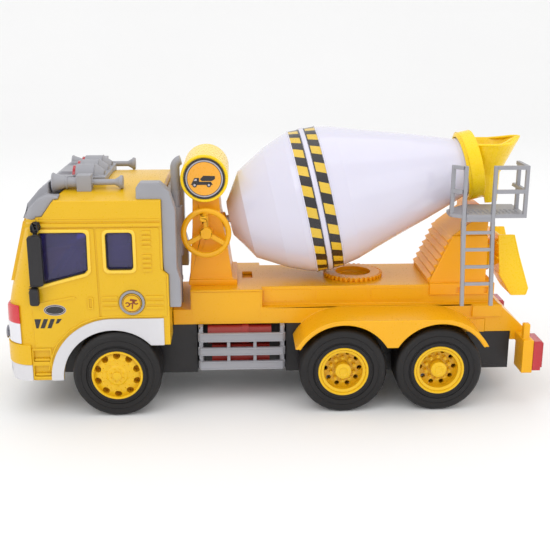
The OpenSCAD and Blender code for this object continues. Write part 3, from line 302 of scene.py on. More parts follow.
class Part:
    """Collects small pieces of one material into one object that rides a CAD body."""

    def __init__(self, name, mat, body="truck"):
        self.name, self.mat, self.body = name, mat, body
        self.bm = bmesh.new()

    def _take(self, piece, bevel=0.0, angle=30, seg=2):
        """Adds one piece, with its sharp edges bevelled."""
        if bevel > 0:
            sharp = [e for e in piece.edges
                     if len(e.link_faces) == 2 and e.calc_face_angle(0) > math.radians(angle)]
            bmesh.ops.bevel(piece, geom=sharp, offset=bevel * MM, segments=seg, profile=0.5,
                            affect="EDGES", clamp_overlap=True)
        bmesh.ops.recalc_face_normals(piece, faces=piece.faces)
        mesh = bpy.data.meshes.new("tmp")
        piece.to_mesh(mesh)
        piece.free()
        self.bm.from_mesh(mesh)
        bpy.data.meshes.remove(mesh)

    def box(self, corner, opposite, bevel=0.25, rot=None, seg=2):
        """Box between two opposite corners, turned about its middle if rot is given."""
        piece = bmesh.new()
        middle = [(a + b) / 2 for a, b in zip(corner, opposite)]
        size = [abs(b - a) * MM for a, b in zip(corner, opposite)]
        bmesh.ops.create_cube(piece, size=1.0)
        place = Matrix.Translation(Vector(middle) * MM)
        if rot is not None:
            place = place @ rot
        place = place @ Matrix.Diagonal((*size, 1.0))
        bmesh.ops.transform(piece, matrix=place, verts=piece.verts)
        self._take(piece, bevel, seg=seg)

    def cyl(self, start, end, r0, r1=None, seg=40, bevel=0.2):
        """Rod or cone between two points."""
        piece = bmesh.new()
        a, b = Vector(start) * MM, Vector(end) * MM
        bmesh.ops.create_cone(piece, cap_ends=True, segments=seg, radius1=r0 * MM,
                              radius2=(r0 if r1 is None else r1) * MM, depth=(b - a).length)
        place = Matrix.Translation((a + b) / 2) @ along(b - a)
        bmesh.ops.transform(piece, matrix=place, verts=piece.verts)
        self._take(piece, bevel, angle=40)

    def lathe(self, profile, origin, axis, seg=64, closed=True):
        """Turned piece from a profile of (radius, height) points along the axis."""
        piece = bmesh.new()
        rings = []
        for r, h in profile:
            if r <= 1e-6:
                rings.append([piece.verts.new((0, 0, h * MM))])
            else:
                rings.append([piece.verts.new((x * MM, y * MM, h * MM)) for x, y in ellipse(0, 0, r, r, seg)])
        pairs = list(zip(rings, rings[1:]))
        if closed:
            pairs.append((rings[-1], rings[0]))
        for low, high in pairs:
            if len(low) == 1 and len(high) == 1:
                continue
            for k in range(seg):
                after = (k + 1) % seg
                if len(low) == 1:
                    piece.faces.new((low[0], high[k], high[after]))
                elif len(high) == 1:
                    piece.faces.new((low[k], low[after], high[0]))
                else:
                    piece.faces.new((low[k], low[after], high[after], high[k]))
        place = Matrix.Translation(Vector(origin) * MM) @ along(axis)
        bmesh.ops.transform(piece, matrix=place, verts=piece.verts)
        self._take(piece)

    def prism(self, outline, y0, y1, bevel=0.25):
        """Outline in the side view, solid between two distances across the truck."""
        piece = bmesh.new()
        first, last = ([piece.verts.new((x * MM, y * MM, z * MM)) for x, z in outline] for y in (y0, y1))
        piece.faces.new(first)
        piece.faces.new(list(reversed(last)))
        for i in range(len(outline)):
            after = (i + 1) % len(outline)
            piece.faces.new((first[i], last[i], last[after], first[after]))
        self._take(piece, bevel)

    def plate(self, outline, holes, y0, y1, bevel=0.3, res=2):
        """Flat plate in the side view, with holes and rounded edges."""
        thick = abs(y1 - y0)
        edge = min(bevel, thick / 2 - 0.01)
        curve = bpy.data.curves.new("tmp", "CURVE")
        curve.dimensions = "2D"
        curve.fill_mode = "BOTH"
        curve.extrude = (thick / 2 - edge) * MM
        curve.bevel_depth = edge * MM
        curve.bevel_resolution = res
        curve.offset = -edge * MM
        for loop in [outline] + list(holes):
            spline = curve.splines.new("POLY")
            spline.points.add(len(loop) - 1)
            for point, (x, z) in zip(spline.points, loop):
                point.co = (x * MM, z * MM, 0, 1)
            spline.use_cyclic_u = True
        obj = bpy.data.objects.new("tmp", curve)
        bpy.context.scene.collection.objects.link(obj)
        graph = bpy.context.evaluated_depsgraph_get()
        graph.update()
        mesh = bpy.data.meshes.new_from_object(obj.evaluated_get(graph))
        bpy.data.objects.remove(obj)
        bpy.data.curves.remove(curve)
        piece = bmesh.new()
        piece.from_mesh(mesh)
        bpy.data.meshes.remove(mesh)
        bmesh.ops.remove_doubles(piece, verts=piece.verts, dist=1e-6)
        place = Matrix(((1, 0, 0, 0), (0, 0, 1, (y0 + y1) / 2 * MM), (0, 1, 0, 0), (0, 0, 0, 1)))
        bmesh.ops.transform(piece, matrix=place, verts=piece.verts)
        self._take(piece)

    def tube(self, route, r, seg=16):
        """Round rod through a list of points."""
        piece = bmesh.new()
        points = [Vector(p) for p in route]
        rings = []
        across = None
        for i, p in enumerate(points):
            ahead = (points[min(i + 1, len(points) - 1)] - points[max(i - 1, 0)]).normalized()
            if across is None:
                across = ahead.orthogonal().normalized()
            across = (across - ahead * across.dot(ahead)).normalized()
            other = ahead.cross(across)
            rings.append([piece.verts.new((p + across * u + other * v) * MM)
                          for u, v in ellipse(0, 0, r, r, seg)])
        for low, high in zip(rings, rings[1:]):
            for k in range(seg):
                after = (k + 1) % seg
                piece.faces.new((low[k], low[after], high[after], high[k]))
        piece.faces.new(list(reversed(rings[0])))
        piece.faces.new(rings[-1])
        self._take(piece)

    def done(self):
        """Makes the object, smooth but for its sharp edges, and ties it to its body."""
        mesh = bpy.data.meshes.new(self.name)
        self.bm.to_mesh(mesh)
        self.bm.free()
        for face in mesh.polygons:
            face.use_smooth = True
        mesh.set_sharp_from_angle(angle=math.radians(SMOOTH_ANGLE))
        o = bpy.data.objects.new(self.name, mesh)
        bpy.context.scene.collection.objects.link(o)
        mesh.materials.append(self.mat)
        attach(o, self.body)


def fillet(outline, radii, steps=5):
    """Rounds the corners of a polygon, with one radius or one for each corner."""
    out = []
    count = len(outline)
    for i in range(count):
        before, corner, after = (Vector(outline[j % count]) for j in (i - 1, i, i + 1))
        a, b = before - corner, after - corner
        len_a, len_b = a.length, b.length
        a.normalize()
        b.normalize()
        angle = math.acos(max(-1, min(1, a.dot(b))))
        r = radii[i] if isinstance(radii, (list, tuple)) else radii
        back = min(r / max(math.tan(angle / 2), 1e-6), len_a * 0.49, len_b * 0.49)
        start, end = corner + a * back, corner + b * back
        for k in range(steps + 1):
            u = k / steps
            q = (1 - u) ** 2 * start + 2 * u * (1 - u) * corner + u * u * end
            out.append((q.x, q.y))
    return out


def grow(outline, distance):
    """Moves every side of a polygon outwards, or inwards where the distance is negative."""
    count = len(outline)
    area = sum(outline[i - 1][0] * outline[i][1] - outline[i][0] * outline[i - 1][1] for i in range(count))
    way = 1 if area > 0 else -1
    out = []
    for i in range(count):
        before, corner, after = (Vector(outline[j % count]) for j in (i - 1, i, i + 1))
        side_a, side_b = corner - before, after - corner
        normal_a = Vector((side_a.y, -side_a.x)).normalized() * way
        normal_b = Vector((side_b.y, -side_b.x)).normalized() * way
        move = normal_a + normal_b
        move = move / max(move.dot(normal_a), 0.2)
        out.append((corner.x + move.x * distance, corner.y + move.y * distance))
    return out


# ------------------------------------------------------------------ cab sides
FRONT_WINDOW = [(-112.6, 91.2), (-111.6, 92.2), (-90, 92.2), (-90.2, 73.6), (-91.6, 72.4), (-114.6, 66.4)]
REAR_WINDOW = rect(-81.4, 92, -68.8, 73.8)
FRONT_PANE = fillet(FRONT_WINDOW, [0.5, 0.5, 2.2, 1.2, 1.2, 0.5])
REAR_PANE = fillet(REAR_WINDOW, 2.0)
# The front door's lower edge follows the wheel opening, and the lip lies just outside it
DOOR_ARCH = [(-86.6, 50.0), (-93.6, 47.6), (-100.2, 43.9), (-105.6, 38.6), (-108.2, 35.8)]
ARCH_LIP = [(-111.6, 24), (-110.8, 27.6), (-108.6, 34.0), (-106.6, 37.6), (-100.8, 43.8), (-94, 47.9),
            (-87, 50.2), (-80, 50.7), (-56, 50.7)]
PANEL_T = 0.4
LOUVRE_PITCH = 2.35


def skin(side, out):
    """Distance across the truck of a point that stands out from the cab's side."""
    return (CAB_HALF_W + out) * side


def window_frames(side):
    frames = Part("window_frames_" + side_tag(side), FRAME_YELLOW)
    for window, pane, r in ((FRONT_WINDOW, FRONT_PANE, 2.2), (REAR_WINDOW, REAR_PANE, 3.2)):
        frames.plate(fillet(grow(window, 1.6), r), [pane], skin(side, -0.6), skin(side, 1.15),
                     bevel=0.55, res=3)
    frames.done()


def window_gaskets(side):
    gaskets = Part("window_gaskets_" + side_tag(side), BLACK)
    for window, pane, r in ((FRONT_WINDOW, FRONT_PANE, 0.6), (REAR_WINDOW, REAR_PANE, 1.6)):
        gaskets.plate(pane, [fillet(grow(window, -0.55), r)], skin(side, -1.4), skin(side, -0.2), bevel=0.2)
    gaskets.done()


def side_step(panels, side):
    """Ladder-like step panel ahead of the wheel, with two ribbed treads."""
    well_x0, well_x1 = -118.6, -110.6
    wells = [fillet(rect(well_x0, top, well_x1, bottom), 0.5) for top, bottom in ((34.0, 28.3), (26.2, 20.6))]
    panels.plate(fillet(rect(-119.4, 35.2, -109.8, 19.4), 0.8), wells, skin(side, 0), skin(side, 0.6),
                 bevel=0.2)
    for z in (28.4, 20.8):
        panels.box((-118.4, skin(side, -1.0), z), (-110.8, skin(side, 0.1), z + 1.3), 0.3)
        for k in range(5):
            x = -117.6 + 1.4 * k
            panels.box((x, skin(side, -1.0), z + 1.3), (x + 0.6, skin(side, -0.1), z + 1.6), 0.1)


def cab_panels(side):
    """Door and rear panels with everything that is moulded on them."""
    panels = Part("cab_panels_" + side_tag(side), CAB)
    face, proud = skin(side, 0), skin(side, PANEL_T)
    root = skin(side, 0.3)
    door = fillet([(-117.0, 94.2), (-86.5, 94.2), (-85.9, 50.6)] + DOOR_ARCH
                  + [(-109.4, 35.4), (-117.4, 35.4), (-117.4, 62)],
                  [0.6, 0.6, 0.3, 0.3, 2, 2, 2, 2, 0.4, 0.4, 2], 3)
    panels.plate(door, [grow(FRONT_PANE, 0.3)], face, proud, bevel=0.18)
    rear = fillet([(-85.6, 94.2), (-56.2, 94.2), (-56.2, 74), (-53.6, 71.2), (-53.6, 50.5), (-85.0, 50.5)],
                  0.8, 3)
    panels.plate(rear, [grow(REAR_PANE, 0.3), ellipse(BADGE_X, BADGE_Z, 6.3, 6.3)], face, proud, bevel=0.18)
    # rain gutter above the doors, and the thin line over it
    panels.prism([(-118.4, 95.0), (-117.8, 96.5), (-55.3, 96.5), (-55.3, 95.0)], face, skin(side, 0.8),
                 bevel=0.3)
    panels.prism([(-117.6, 97.6), (-117.2, 98.4), (-55.4, 98.4), (-55.4, 97.6)], skin(side, -0.2),
                 skin(side, 0.35), bevel=0.2)
    # louvres in two groups
    for lowest in (84.4, 73.0):
        for k in range(4):
            z = lowest + k * LOUVRE_PITCH
            panels.prism(rect(-64.4, z, -60.2, z + 1.4), root, skin(side, 0.95), bevel=0.45)
    # raised bands on both sides of the badge
    for z in (60.4, BADGE_Z, 55.0):
        for x0, x1 in ((-84.4, -76.9), (-63.5, -55.0)):
            panels.prism(rect(x0, z - 0.7, x1, z + 0.7), root, skin(side, 0.8), bevel=0.3)
    # swage line and handle frame on the front door
    swage = [(-114.6, 58.0), (-98.2, 61.2), (-96.6, 60.6), (-96.6, 59.6), (-98.4, 60.1), (-114.6, 56.9)]
    panels.prism(swage, root, skin(side, 0.75), bevel=0.22)
    panels.plate(fillet(rect(-91.2, 60.8, -88.4, 54.6), 1.0), [fillet(rect(-90.4, 60.0, -89.2, 55.4), 0.5)],
                 root, skin(side, 1.0), bevel=0.25)
    # proud lip over the wheel opening
    lip_y = skin(side, 0.35)
    for (x0, z0), (x1, z1) in zip(ARCH_LIP, ARCH_LIP[1:]):
        panels.cyl((x0, lip_y, z0), (x1, lip_y, z1), 0.5, seg=12, bevel=0)
    side_step(panels, side)
    panels.done()


def door_labels(side):
    """A blank oval with its rings, and a hazard bar of four slanted blocks."""
    x, z = -106.9, 54.4
    low, high = skin(side, 0.38), skin(side, 0.5)
    labels = Part("door_labels_" + side_tag(side), INK)
    labels.plate(ellipse(x, z, 5.0, 2.5), [ellipse(x, z, 4.6, 2.1)], low, high, bevel=0.02)
    labels.plate(ellipse(x, z, 4.3, 1.85), [], low, high, bevel=0.02)
    for block in ([(-116.9, 50.0), (-113.7, 50.0), (-115.2, 45.4), (-116.3, 45.4)],
                  [(-112.5, 50.0), (-110.4, 50.0), (-112.3, 45.4), (-114.3, 45.4)],
                  [(-109.2, 50.0), (-107.2, 50.0), (-109.1, 45.4), (-111.0, 45.4)],
                  [(-106.0, 50.0), (-103.9, 50.0), (-105.6, 47.8), (-107.0, 47.6)]):
        labels.prism(block, low, high, bevel=0)
    labels.done()
    rings = Part("door_label_rings_" + side_tag(side), STICKER_GREY)
    for outer, inner in (((5.3, 2.75), (4.95, 2.45)), ((4.62, 2.12), (4.28, 1.83))):
        rings.plate(ellipse(x, z, *outer), [ellipse(x, z, *inner)], skin(side, 0.36), skin(side, 0.46),
                    bevel=0.02)
    rings.done()


for side in SIDES:
    window_frames(side)
    cab_panels(side)
    window_gaskets(side)
    door_labels(side)


# ------------------------------------------------------------------ badge on the sound button
def badge():
    """Ring with a spanner and a hammer crossed inside it."""
    face = -44.6
    back = face + 0.02
    jaw_r, mouth_r = 1.2, 0.62
    jaw_start, jaw_sweep, jaw_steps = 57, 276, 24
    icon = Part("badge_icon", STICKER_BROWN, "sound_button")
    icon.lathe(rect(4.02, 0, 4.3, 0.14), (BADGE_X, back, BADGE_Z), (0, -1, 0), 64)
    # the spanner's two open jaws, then its shaft
    for end in (-1, 1):
        x, z = BADGE_X + end * 2.05, BADGE_Z + end * 0.55
        about = 0 if end > 0 else math.pi
        sweep = [math.radians(jaw_start + jaw_sweep * k / jaw_steps) + about for k in range(jaw_steps + 1)]
        jaw = [(x + jaw_r * math.cos(a), z + jaw_r * math.sin(a)) for a in sweep]
        jaw += [(x + mouth_r * math.cos(a), z + mouth_r * math.sin(a)) for a in reversed(sweep)]
        icon.plate(jaw, [], back, face - 0.12, bevel=0.01)
    shaft = [(-1.3, -0.62), (1.25, 0.02), (1.15, 0.5), (-1.4, -0.14)]
    handle = [(-0.2, -2.7), (0.4, -2.8), (0.95, 1.3), (0.35, 1.4)]
    head = [(-0.9, 1.3), (1.9, 0.9), (2.0, 1.8), (-0.6, 2.3)]
    for shape, height in ((shaft, 0.12), (handle, 0.1), (head, 0.1)):
        icon.prism([(BADGE_X + x, BADGE_Z + z) for x, z in shape], back, face - height, bevel=0)
    icon.done()


badge()

# ------------------------------------------------------------------ drum bands
# (distance along the axis, radius), the same profile as the drum in part.scad
DRUM_PROFILE = [(-38, 9), (-29, 22.8), (-14, 31.3), (-3, 35.8), (0, 36.5), (13.6, 36.3), (22, 34.6),
                (34, 30.6), (60, 22.4), (82, 15), (88, 15)]
BAND_BLOCKS = 22
BAND_SLANT = 0.06
BAND_LIFT = 0.12
BAND_T = 0.08


def drum_radius(s):
    for (s0, r0), (s1, r1) in zip(DRUM_PROFILE, DRUM_PROFILE[1:]):
        if s <= s1:
            return r0 + (r1 - r0) * (s - s0) / (s1 - s0)
    return DRUM_PROFILE[-1][1]


def band(name, s0, s1):
    """Ring of slanted dark and light blocks wrapped round the drum."""
    rows, columns = 2, 4
    for half, (shade, mat) in enumerate((("_dark", INK), ("_light", STICKER_YELLOW))):
        ring = Part(name + shade, mat, "drum")
        for block in range(BAND_BLOCKS):
            a0, a1 = turn(block + 0.5 * half, BAND_BLOCKS), turn(block + 0.5 * (half + 1), BAND_BLOCKS)
            grid = []
            for j in range(rows + 1):
                s = s0 + (s1 - s0) * j / rows
                r = drum_radius(s) + BAND_LIFT
                angles = [a0 + BAND_SLANT * j / rows + (a1 - a0) * i / columns for i in range(columns + 1)]
                grid.append([ring.bm.verts.new(Vector((r * math.cos(a), r * math.sin(a), s)) * MM)
                             for a in angles])
            for low, high in zip(grid, grid[1:]):
                for i in range(columns):
                    ring.bm.faces.new((low[i], low[i + 1], high[i + 1], high[i]))
        place = Matrix.Translation(DRUM_ORIGIN * MM) @ along(DRUM_AXIS)
        bmesh.ops.transform(ring.bm, matrix=place, verts=ring.bm.verts)
        bmesh.ops.solidify(ring.bm, geom=ring.bm.faces[:], thickness=BAND_T * MM)
        ring.done()


def drum_rings(name, mat, profiles):
    rings = Part(name, mat, "drum")
    for profile in profiles:
        rings.lathe(profile, DRUM_ORIGIN, DRUM_AXIS, 96)
    rings.done()


band("drum_band_a", 0.2, 5.0)
band("drum_band_b", 8.6, 13.4)
drum_rings("drum_rings", WHITE, (
    [(36.3, -0.5), (36.95, -0.3), (36.95, 0.1), (36.3, 0.3)],
    [(36.2, 5.4), (37.1, 5.75), (37.3, 6.8), (37.1, 7.85), (36.2, 8.2)],
    [(36.0, 13.5), (36.8, 13.6), (36.8, 14.0), (36.0, 14.3)]))
drum_rings("drum_pin_lines", INK, (rect(36.3, 4.95, 36.72, 5.4), rect(36.2, 8.2, 36.65, 8.65)))


# ------------------------------------------------------------------ sign on the barrel
ICON_SCALE = 0.96
ICON_WHEELS = (-4.9, 2.3)
ICON_WHEEL_Z = -3.2


def sign(side):
    """Ringed disc on the barrel's end, with a plain truck outline."""
    tag = side_tag(side)
    end = SIGN_SEAT * side
    for layer, mat, profile, closed in (
            ("ring", INK, rect(9.1, 0, 10.1, 0.5), True),
            ("grey", STICKER_GREY, rect(0, 0, 9.15, 0.42), False),
            ("disc", STICKER_ORANGE, rect(0, 0.3, 8.3, 0.55), False),
            ("line", INK, rect(8.2, 0.3, 8.45, 0.58), True)):
        turned = Part(f"sign_{layer}_{tag}", mat)
        turned.lathe(profile, (SIGN_X, end, SIGN_Z), (0, side, 0), 72, closed)
        turned.done()

    def at(x, z):
        return (SIGN_X + x * ICON_SCALE, SIGN_Z + z * ICON_SCALE)

    def raised(height):
        return end + height * side

    def wheels(part, r, height, seg):
        for x in ICON_WHEELS:
            wx, wz = at(x, ICON_WHEEL_Z)
            part.cyl((wx, raised(0.5), wz), (wx, raised(height), wz), r * ICON_SCALE, seg=seg, bevel=0)

    truck = Part("sign_truck_" + tag, INK)
    cab = [(-6.8, -3.1), (-4.9, 0.5), (-2.6, 0.5), (-2.6, -3.1)]
    bed = [(-2.7, -3.1), (-2.7, -1.5), (3.4, -1.5), (4.3, -3.1)]
    drum = [(-2.1, -0.2), (-0.4, 1.6), (5.4, 1.4), (5.5, 0.0), (3.9, -1.1), (-1.2, -1.1)]
    for outline in (cab, bed, drum):
        truck.prism([at(x, z) for x, z in outline], raised(0.5), raised(0.68), bevel=0)
    wheels(truck, 1.15, 0.68, 24)
    truck.done()
    hubs = Part("sign_hubs_" + tag, STICKER_GREY)
    wheels(hubs, 0.6, 0.74, 20)
    window = [(-5.4, -1.0), (-4.6, 0.0), (-3.8, 0.0), (-3.8, -1.0)]
    hubs.prism([at(x, z) for x, z in window], raised(0.5), raised(0.72), bevel=0)
    hubs.done()


for side in SIDES:
    sign(side)


# ------------------------------------------------------------------ wheels
def studs(part, centre, out, ring_r, count, start, height, r0, r1):
    """Ring of small six-sided studs round a wheel's centre."""
    for k in range(count):
        a = turn(k + 0.5, count)
        foot = centre + Vector((math.cos(a), 0, math.sin(a))) * ring_r + out * start
        part.cyl(foot, foot + out * height, r0, r1, seg=6, bevel=0)


def wheel_relief(axle, side):
    """Rings on the tyre's wall, and the studs and hub cap of the rim."""
    body = axle + "_wheels"
    centre = Vector((AXLE_X[axle], TRACK_HALF * side, AXLE_Z))
    out = Vector((0, side, 0))
    wall = Part(f"{axle}_tyre_relief_{side_tag(side)}", TYRE, body)
    for r, half in ((17.6, 0.3), (14.0, 0.35)):
        wall.lathe([(r - half, -0.25), (r - half * 0.5, 0.22), (r + half * 0.5, 0.22), (r + half, -0.25)],
                   centre, out, 72)
    wall.done()
    rim = Part(f"{axle}_rim_relief_{side_tag(side)}", RIM, body)
    rim.lathe([(11.2, -0.35), (11.5, 0.25), (12.2, 0.3), (12.5, -0.2)], centre, out, 72)
    if axle == "front":
        studs(rim, centre, out, 7.6, 20, -0.9, 0.9, 0.55, 0.42)
        studs(rim, centre, out, 5.9, 10, -0.9, 0.9, 0.55, 0.42)
        studs(rim, centre, out, 3.2, 8, 0.3, 0.9, 0.55, 0.42)
        rim.lathe([(0, 0.3), (2.1, 0.3), (2.0, 0.9), (1.2, 1.1), (0, 1.1)], centre, out, 40, closed=False)
    else:
        studs(rim, centre, out, 5.9, 10, -3.4, 0.7, 0.62, 0.5)
        rim.lathe([(0, -1.0), (3.9, -1.0), (3.9, -0.6), (3.2, -0.1), (2.2, 0.1), (1.8, -0.3), (0, -0.3)],
                  centre, out, 40, closed=False)
        rim.lathe([(9.6, -0.9), (10.2, -0.5), (10.9, -0.4), (11.1, -0.9)], centre, out, 72)
    rim.done()


for axle in AXLE_X:
    for side in SIDES:
        wheel_relief(axle, side)

# ------------------------------------------------------------------ cab front
# (height, distance along the truck) of the cab's front, from the sill up to the visor
FRONT_PROFILE = [(18.5, -128.6), (27, -131), (38, -131), (52, -130), (65, -128.4), (97, -119.8),
                 (103.4, -116.6)]
GRILLE_HALF_W = 17.4
GLASS_HALF_W = 31.5


def front_x(z):
    for (z0, x0), (z1, x1) in zip(FRONT_PROFILE, FRONT_PROFILE[1:]):
        if z <= z1:
            return x0 + (x1 - x0) * (z - z0) / (z1 - z0)
    return FRONT_PROFILE[-1][1]


def front_strip(part, y0, y1, z0, z1, thick, bevel=0.25):
    """Plate that follows the slope of the cab's front, rooted a little behind it."""
    root = 0.6
    low, high = front_x(z0), front_x(z1)
    outline = [(low - thick, z0), (high - thick, z1), (high + root, z1), (low + root, z0)]
    part.prism(outline, y0, y1, bevel=bevel)


def front_panels():
    """Windscreen frame, grille bars and grille frame."""
    panels = Part("front_panels", CAB)
    for z0, z1 in ((66.2, 68.0), (95.0, 96.6)):
        front_strip(panels, -GLASS_HALF_W, GLASS_HALF_W, z0, z1, 0.9)
    for z in (38.6, 42.0, 45.4, 48.8, 52.2):
        front_strip(panels, -16, 16, z, z + 1.7, 0.8)
    for z in (35.4, 55.2):
        front_strip(panels, 0.2 - GRILLE_HALF_W, GRILLE_HALF_W - 0.2, z, z + 2, 1.0)
    for side in SIDES:
        front_strip(panels, 33 * side, 34.6 * side, 67, 96, 0.7)
        front_strip(panels, 15.8 * side, GRILLE_HALF_W * side, 36, 57, 1.0)
    panels.done()


def front_dark():
    """Black behind the grille bars and the number plate, and the two wipers."""
    gap = 1.2
    dark = Part("front_dark", BLACK)
    front_strip(dark, -15.9, 15.9, 37.2, 55.4, 0.15, bevel=0)
    front_strip(dark, -14, 14, 27.6, 34.4, 0.2, bevel=0)
    for y in (-14, 6):
        arm = [(front_x(67) - gap, y, 67.4), (front_x(74) - gap, y + 5, 74), (front_x(82) - gap, y + 11, 82)]
        dark.tube(arm, 0.45, 10)
        dark.box((front_x(70) - 1.6, y - 1, 66.6), (front_x(70) + 0.4, y + 1, 69), 0.3)
    dark.done()


def front_plate():
    plate = Part("front_plate", STICKER_GREY)
    front_strip(plate, -11, 11, 29, 33.2, 0.45, bevel=0.12)
    plate.done()


def lamp_bulbs():
    """Two round reflectors in the clear half of each lamp block."""
    dish = [(0, 0), (2.0, 0.0), (3.0, 0.5), (3.3, 0.85), (2.9, 0.85), (1.8, 0.45), (0.9, 0.75), (0, 0.85)]
    z = 40
    bulbs = Part("lamp_bulbs", CHROME)
    for side in SIDES:
        for y in (22.5, 31.5):
            bulbs.lathe(dish, (front_x(z) - 1.2, y * side, z), (-1, 0, 0), 32, closed=False)
    bulbs.done()


front_panels()
front_dark()
front_plate()
lamp_bulbs()


# ------------------------------------------------------------------ roof
def visor_relief():
    rib = [(-120.2, 98.4), (-118.7, 104.2), (-113.0, 110.6), (-112.2, 110.4), (-117.8, 103.9), (-119.2, 98.4)]
    relief = Part("visor_relief", GREY)
    for y in (-21, -7, 7, 21):
        relief.prism(rib, y - 0.8, y + 0.8, bevel=0.25)
    relief.done()


def horn_details():
    """The dark mouth of each air horn, and the rings along the horn."""
    mouths = Part("horn_mouths", BLACK)
    rims = Part("horn_rims", GREY)
    for side in SIDES:
        y = HORN_Y * side
        mouths.lathe(rect(0, 0, 3.15, 0.2), (-104.7, y, HORN_Z), (-1, 0, 0), 32, closed=False)
        rims.lathe([(3.2, -0.4), (4.5, -0.4), (4.7, 0.0), (4.5, 0.5), (3.6, 0.5), (3.2, 0.1)],
                   (-106.4, y, HORN_Z), (-1, 0, 0), 40)
        rims.lathe([(2.4, 0), (2.9, 0.2), (2.9, 0.9), (2.4, 1.1)], (-99.6, y, HORN_Z), (-1, 0, 0), 32)
        rims.lathe([(1.3, 0), (3.1, 0.2), (3.3, 0.8), (3.1, 1.4), (1.3, 1.4)], (-73.7, y, HORN_Z),
                   (-1, 0, 0), 32)
    mouths.done()
    rims.done()


visor_relief()
horn_details()


# ------------------------------------------------------------------ dark sheets inside the cab, painted shade
def cab_inside_painted_shade():
    """Dark sheets painted inside the hollow cab as its shade: the door linings, the rear wall's lining and
    the dashboard's top.
    """
    floor_z = 48.4
    shade_sheets = Part("cab_inside_painted_shade", INSIDE_PAINTED_SHADE)
    for side, rear_x in zip(SIDES, (-86, -60)):
        shade_sheets.box((-113, 40.0 * side, floor_z), (rear_x, 41.0 * side, 65.0), 0.2)
    shade_sheets.box((-58.0, -40.6, floor_z), (-57.2, 40.6, 92), 0.1)
    shade_sheets.box((-112, -26.8, 66.0), (-108, 26.8, 67.4), 0.5)
    shade_sheets.done()


cab_inside_painted_shade()


# ------------------------------------------------------------------ deck
def deck_relief():
    """Raised panels along the deck and the ledge, and the rolled lips of the mudguards."""
    lip_r, lip_y, lip_steps = MUDGUARD_R + 0.7, MUDGUARD_HALF_W - 0.3, 18
    relief = Part("deck_relief", BODY)
    for side in SIDES:
        for x0, x1 in ((-6.5, 18), (20, 46), (48, 74)):
            relief.prism(rect(x0, 50.2, x1, 56.2), (DECK_HALF_W - 0.1) * side, (DECK_HALF_W + 0.3) * side,
                         bevel=0.18)
        relief.prism(rect(-42.6, 41.4, -8.6, 56.8), (SKIRT_HALF_W - 0.1) * side,
                     (SKIRT_HALF_W + 0.25) * side, bevel=0.18)
        relief.box((-43.3, (SKIRT_HALF_W - 0.3) * side, 57.0),
                   (-7.7, (SKIRT_HALF_W + 0.5) * side, 58.05), 0.3)
        for axle, start, end in (("mid", 150, 62), ("rear", 118, 30)):
            angles = [math.radians(start + (end - start) * k / lip_steps) for k in range(lip_steps + 1)]
            relief.tube([(AXLE_X[axle] + lip_r * math.cos(a), lip_y * side, AXLE_Z + lip_r * math.sin(a))
                         for a in angles], 0.55, 10)
    relief.done()
    # Painted light: a shallow amber floor in the deck's open slot stands in for the orange glow seen inside
    # it
    slot_glow = Part("deck_slot_painted_light", AMBER)
    slot_glow.box((-17.1, -4.4, 55.9), (-12.1, 7.9, 56.15), 0.05)
    slot_glow.done()


deck_relief()


# ------------------------------------------------------------------ hopper lip and chute rims
def hopper_lip():
    """Rolled rim: round at the back, then drawn out to a spout at the tail."""
    r, start, sweep, steps = HOPPER_R - 0.2, 150, 76, 12
    arc = [math.radians(start - sweep * k / steps) for k in range(steps + 1)]
    half = [(HOPPER_X + r * math.cos(a), r * math.sin(a), 127.5) for a in arc]
    half += [(116.4, 8.6, 128.6), (121.4, 3.4, 129.9), (124.1, 1.2, 130.2), (124.5, 0, 130.2)]
    lip = Part("hopper_lip", BRIGHT)
    lip.tube(half + [(x, -y, z) for x, y, z in reversed(half[:-1])], 0.7, 10)
    lip.done()


def chute_rims():
    """Rolled edges down both sides of the chute, and two cross ribs on its back."""
    half_w = 9.6
    rims = Part("chute_rims", BRIGHT, "chute")
    for side in SIDES:
        y = half_w * side
        rims.tube([(122.8, y, 80.8), (126.2, y, 69.2), (132.0, y, 52), (131.1, y, 48.8)], 0.55, 10)
    for z, x in ((76, 115.2), (68, 115.8)):
        rims.box((x - 0.9, -half_w, z), (x + 0.2, half_w, z + 1.2), 0.3)
    rims.done()


hopper_lip()
chute_rims()


# ------------------------------------------------------------------ platform tread, lamp ribs and guard lips
def platform_tread():
    """Chequer-plate bars, turned one way and the other in turn."""
    half_length, half_w, z0, z1 = 0.75, 0.22, 96.95, 97.25
    tread = Part("platform_tread", GREY)
    for i in range(12):
        for j in range(4):
            x, y = 92 + i * 2.3, -31.5 + j * 2.6
            rot = Matrix.Rotation(math.radians(45 if (i + j) % 2 else -45), 4, "Z")
            tread.box((x - half_length, y - half_w, z0), (x + half_length, y + half_w, z1), 0.08,
                      rot=rot, seg=1)
    tread.done()


def tail_lamp_ribs():
    ribs = Part("tail_lamp_ribs", MARKER_RED)
    for side in SIDES:
        for k in range(5):
            z = 20.6 + k * 2.5
            ribs.box((132.2, 29.8 * side, z), (132.6, 38.6 * side, z + 1.1), 0.2)
    ribs.done()


def guard_lips():
    """Rounded edges above and below each bar of the side guards."""
    inset = 0.3
    lips = Part("guard_lips", GREY)
    for side in SIDES:
        y = 30.75 * side
        for bottom, top in ((17.6, 21.8), (25.2, 29.0), (32.4, 36.6)):
            for z in (bottom + inset, top - inset):
                lips.tube([(-38.6, y, z), (2.6, y, z)], 0.45, 8)
    lips.done()


platform_tread()
tail_lamp_ribs()
guard_lips()


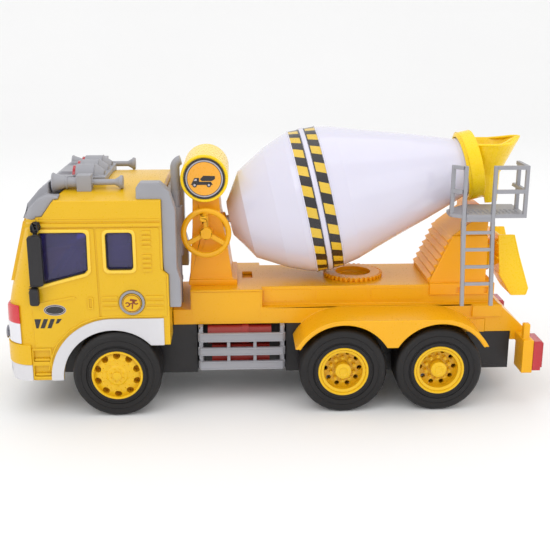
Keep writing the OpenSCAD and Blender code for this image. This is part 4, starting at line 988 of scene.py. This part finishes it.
# ------------------------------------------------------------------ stage, lights and camera, in metres
def stage():
    """White paper floor that curves up into a wall behind the truck."""
    half_w, back_y, cove_r, wall_top, cove_steps = 3.0, 1.1, 0.7, 3.0, 12
    profile = [(-half_w, 0.0)]
    for i in range(cove_steps + 1):
        a = math.radians(90 * i / cove_steps)
        profile.append((back_y + cove_r * math.sin(a), cove_r - cove_r * math.cos(a)))
    profile.append((back_y + cove_r, wall_top))
    bm = bmesh.new()
    rows = [[bm.verts.new((x, y, z)) for x in (-half_w, half_w)] for y, z in profile]
    for low, high in zip(rows, rows[1:]):
        bm.faces.new((low[0], low[1], high[1], high[0]))
    mesh = bpy.data.meshes.new("floor")
    bm.to_mesh(mesh)
    bm.free()
    for face in mesh.polygons:
        face.use_smooth = True
    floor = bpy.data.objects.new("floor", mesh)
    bpy.context.scene.collection.objects.link(floor)
    mesh.materials.append(plastic("floor_paper", (0.93, 0.93, 0.93), 0.75, 0.985, 1.0, spec=0.2,
                                  scuff=0.0, scale=0.05))


def world():
    studio = bpy.data.worlds.new("studio")
    bpy.context.scene.world = studio
    studio.use_nodes = True
    background = studio.node_tree.nodes["Background"]
    background.inputs["Color"].default_value = (1.0, 1.0, 1.0, 1.0)
    background.inputs["Strength"].default_value = 0.98


def aim(obj, location, target):
    obj.location = location
    obj.rotation_euler = (Vector(target) - Vector(location)).to_track_quat("-Z", "Y").to_euler()


def area_light(name, location, size, power):
    light = bpy.data.lights.new(name, "AREA")
    light.shape = "RECTANGLE"
    light.size, light.size_y = size
    light.energy = power
    obj = bpy.data.objects.new(name, light)
    bpy.context.scene.collection.objects.link(obj)
    aim(obj, location, (0, 0, 0.06))


def camera():
    """The photo's own viewpoint, fitted to the wheels, the deck and the cab."""
    lens = bpy.data.cameras.new("cam")
    lens.lens = 58.9
    lens.sensor_width = 36.0
    obj = bpy.data.objects.new("cam", lens)
    bpy.context.scene.collection.objects.link(obj)
    aim(obj, (-0.01987, -0.45520, 0.18875), (0, 0, 0.0581))
    bpy.context.scene.camera = obj


stage()
world()
area_light("key", (-0.55, -0.75, 0.95), (0.8, 0.8), 2.5)
area_light("top", (0.15, 0.05, 1.05), (1.0, 0.8), 1.6)
area_light("fill", (0.8, -0.7, 0.45), (0.8, 0.6), 0.7)
camera()
bpy.context.scene.view_settings.view_transform = "Standard"
